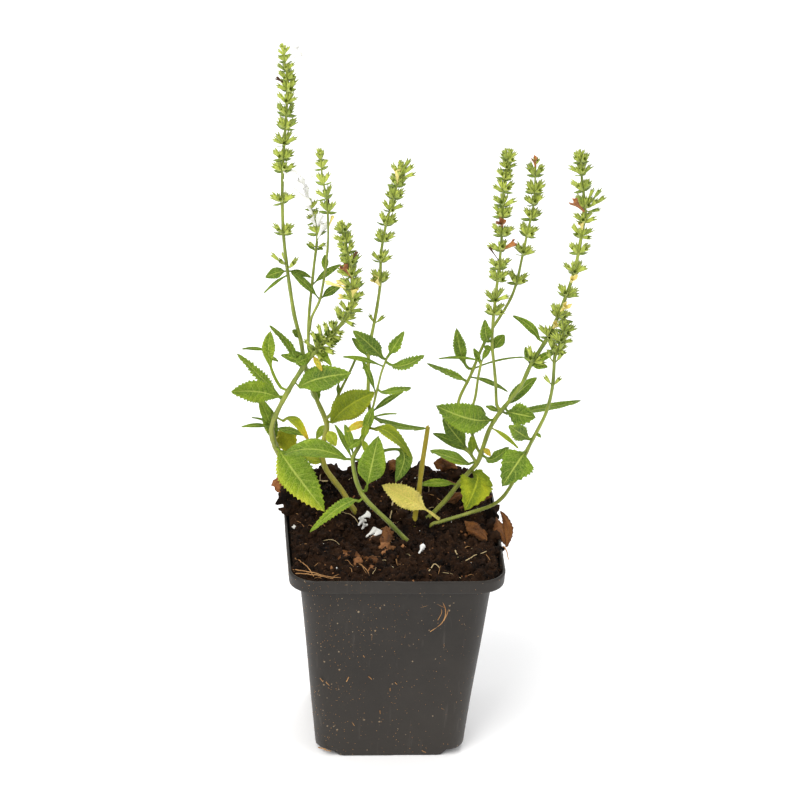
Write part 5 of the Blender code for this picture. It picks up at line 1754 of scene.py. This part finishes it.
def pot_stations():
    """Rounded squares from the middle of the underside round to the middle of the floor."""
    top, low = POT_HIGH.z, POT_LOW.z
    rows = [(half, 3 * MM + 0.02 * half, low) for half in (2 * MM, 10 * MM, 20 * MM, FOOT_HALF - 3 * MM)]
    rows += [(FOOT_HALF - 0.9 * MM, 7.3 * MM, low), (FOOT_HALF - 0.25 * MM, 7.8 * MM, low + 0.25 * MM),
             (FOOT_HALF, 8 * MM, low + 0.9 * MM)]
    ledge = COLLAR_LEVEL - 0.1 * MM
    for i in range(1, 31):
        t = i / 30
        rows.append((FOOT_HALF + (BODY_HALF - FOOT_HALF) * t, (8 + 2.2 * t) * MM,
                     low + 0.9 * MM + (ledge - low - 0.9 * MM) * t))
    collar = RIM_HALF - 0.2 * MM
    rows += [(BODY_HALF + 0.5 * MM, 10.3 * MM, ledge + 0.05 * MM),
             (collar - 0.5 * MM, 11.0 * MM, ledge + 0.1 * MM),
             (collar - 0.1 * MM, 11.2 * MM, ledge + 0.35 * MM), (collar, 11.3 * MM, ledge + 0.9 * MM)]
    rows += [(collar + 0.2 * MM * i / 5, 11.3 * MM,
              ledge + 0.9 * MM + (top - 0.7 * MM - ledge - 0.9 * MM) * i / 5) for i in range(1, 6)]
    rows += [(RIM_HALF - 0.2 * MM, 11.2 * MM, top - 0.2 * MM), (RIM_HALF - 0.6 * MM, 10.9 * MM, top),
             (RIM_HALF - 1.0 * MM, 10.6 * MM, top - 0.2 * MM), (RIM_HALF - WALL, 10.3 * MM, top - 0.7 * MM)]
    rows += [(RIM_HALF - WALL - 0.2 * MM, 10.2 * MM, ledge + 1.6 * MM),
             (RIM_HALF - WALL - 0.6 * MM, 10 * MM, ledge + 1.2 * MM),
             (BODY_HALF - 0.6 * MM, 9.6 * MM, ledge + 1.1 * MM),
             (BODY_HALF - WALL, 9.3 * MM, ledge + 0.6 * MM)]
    for i in range(1, 9):
        t = 1 - i / 8
        rows.append((FOOT_HALF - WALL + (BODY_HALF - FOOT_HALF) * t, (7 + 2.2 * t) * MM,
                     FLOOR_TOP + 0.8 * MM + (ledge - FLOOR_TOP) * t))
    rows += [(FOOT_HALF - WALL - 0.8 * MM, 4.6 * MM, FLOOR_TOP), (20 * MM, 3.4 * MM, FLOOR_TOP),
             (10 * MM, 3.2 * MM, FLOOR_TOP), (2 * MM, 1.9 * MM, FLOOR_TOP)]
    return rows


def mould_marks(x, y, z, inside):
    """Small departures of a used pot: lifted corners, soft sides, one crease, a wavy rim."""
    far = (abs(x) + abs(y) - 2 * FOOT_HALF + 10.4 * MM) / (1.2 * MM)
    raised = POT_LOW.z + 3.0 * MM * max(0.0, min(1.0, far)) + (1.2 * MM if inside else 0.0)
    lift = max(0.0, raised - z)
    share = (z - POT_LOW.z) / (POT_HIGH.z - POT_LOW.z)
    soft = math.sin(math.pi * min(1, max(0, share / 0.9)))
    flat = max(0.0, 1 - (min(abs(x), abs(y)) / (32 * MM)) ** 2)
    pull = -0.45 * MM * soft * flat
    wave = 0.25 * MM * noise.noise(Vector((x * 22, y * 22, z * 26)))
    crease = 0.5 * MM * math.exp(-((z - 8.5 * MM + 0.05 * x) / (1.1 * MM)) ** 2) * (y < -20 * MM)
    crease *= max(0.0, 1 - (x / (20 * MM)) ** 2)
    reach = math.hypot(x, y) or 1.0
    push = pull + wave + crease + (0.7 * MM * share ** 3 if x > 0 else 0.2 * MM)
    return x + x / reach * push, y + y / reach * push, z + lift + 0.18 * MM * share * noise.noise(
        Vector((x * 30, y * 30, 2.0)))


rows = pot_stations()
per = len(square_section(10 * MM, 3 * MM, 0.0))
lip = max(range(len(rows)), key=lambda i: rows[i][2])
pot_points = [mould_marks(*p, i > lip) for i, (half, corner, level) in enumerate(rows)
              for p in square_section(half, corner, level)]
pot_faces = [(i * per + k, i * per + (k + 1) % per, (i + 1) * per + (k + 1) % per, (i + 1) * per + k)
             for i in range(len(rows) - 1) for k in range(per)]
pot_faces += [tuple(range(per))[::-1], tuple((len(rows) - 1) * per + k for k in range(per))]
pot_piece = new_mesh_object("pot_shell", pot_points, pot_faces, pot_plastic)
print("pot loft:", len(rows), "stations of", per, "places")

# %% Drain holes
HOLE_RADIUS, HOLE_REACH = 3.0 * MM, 17.0 * MM
bm = bmesh.new()
for k in range(4):
    angle = k * math.pi / 2
    made = bmesh.ops.create_cone(bm, cap_ends=True, segments=32, radius1=HOLE_RADIUS, radius2=HOLE_RADIUS,
                                 depth=8 * MM)
    bmesh.ops.translate(bm, verts=made["verts"],
                        vec=(HOLE_REACH * math.cos(angle), HOLE_REACH * math.sin(angle), POT_LOW.z))
cutter_mesh = bpy.data.meshes.new("hole_cutter")
bm.to_mesh(cutter_mesh)
bm.free()
cutter = add_object("hole_cutter", cutter_mesh)
cut = pot_piece.modifiers.new("holes", "BOOLEAN")
cut.operation, cut.object, cut.solver = "DIFFERENCE", cutter, "EXACT"
bpy.context.view_layer.update()
graph = bpy.context.evaluated_depsgraph_get()
cut_mesh = bpy.data.meshes.new_from_object(pot_piece.evaluated_get(graph), depsgraph=graph)
pot_piece.modifiers.remove(cut)
pot_piece.data = cut_mesh
discard(cutter)
keep(pot_piece, "pot_plastic", "pot")
print("pot has", piece_sizes["pot_shell"], "triangles")

# %% Grit stuck to the pot
grit_tree, g_in, g_out = new_tree(
    "stuck_grit", [("Template", "Object", None), ("Density", "Float", 2.0e5),
                   ("Seed", "Int", 9), ("Material", "Material", None)])
g_position = put(grit_tree, "ShaderNodeSeparateXYZ",
                 Vector=grit_tree.nodes.new("GeometryNodeInputPosition").outputs[0])
g_normal = put(grit_tree, "ShaderNodeSeparateXYZ",
               Vector=grit_tree.nodes.new("GeometryNodeInputNormal").outputs[0])
g_patches = first(grit_tree, "ShaderNodeTexNoise", Scale=60.0, Detail=2.0)
g_left = first(grit_tree, "ShaderNodeMapRange", Value=g_position.outputs[0], From_Min=0.04, From_Max=-0.04,
               To_Min=0.15, To_Max=1.0)
g_share = times(grit_tree, g_left, maths(grit_tree, "POWER", g_patches, 2.0))
g_outside = first(grit_tree, "FunctionNodeCompare", {"operation": "LESS_THAN"},
                  A=maths(grit_tree, "ABSOLUTE", g_normal.outputs[2]), B=0.4)
g_points = put(grit_tree, "GeometryNodeDistributePointsOnFaces", Mesh=g_in["Geometry"], Selection=g_outside,
               _4=times(grit_tree, g_in["Density"], g_share), Seed=g_in["Seed"])
g_size = chance(grit_tree, 0.10 * MM, 0.42 * MM, g_in["Seed"])
g_copies = copies(grit_tree, g_points.outputs["Points"], g_in["Template"], g_points.outputs["Rotation"],
                  g_size)
close_tree(grit_tree, g_copies, g_in["Material"], g_out)
keep(grow("pot_grit", pot_piece, grit_tree, Template=grain, Density=6.0e5, Seed=9, Material=coir),
     "pot_plastic")
print("grit:", piece_sizes["pot_grit"], "triangles")

# %% Finish
discard(bell, bract, hair, crumb, clod, grain)
print(len(piece_sizes), "pieces,", sum(piece_sizes.values()), "triangles; largest",
      max(piece_sizes, key=piece_sizes.get), max(piece_sizes.values()))
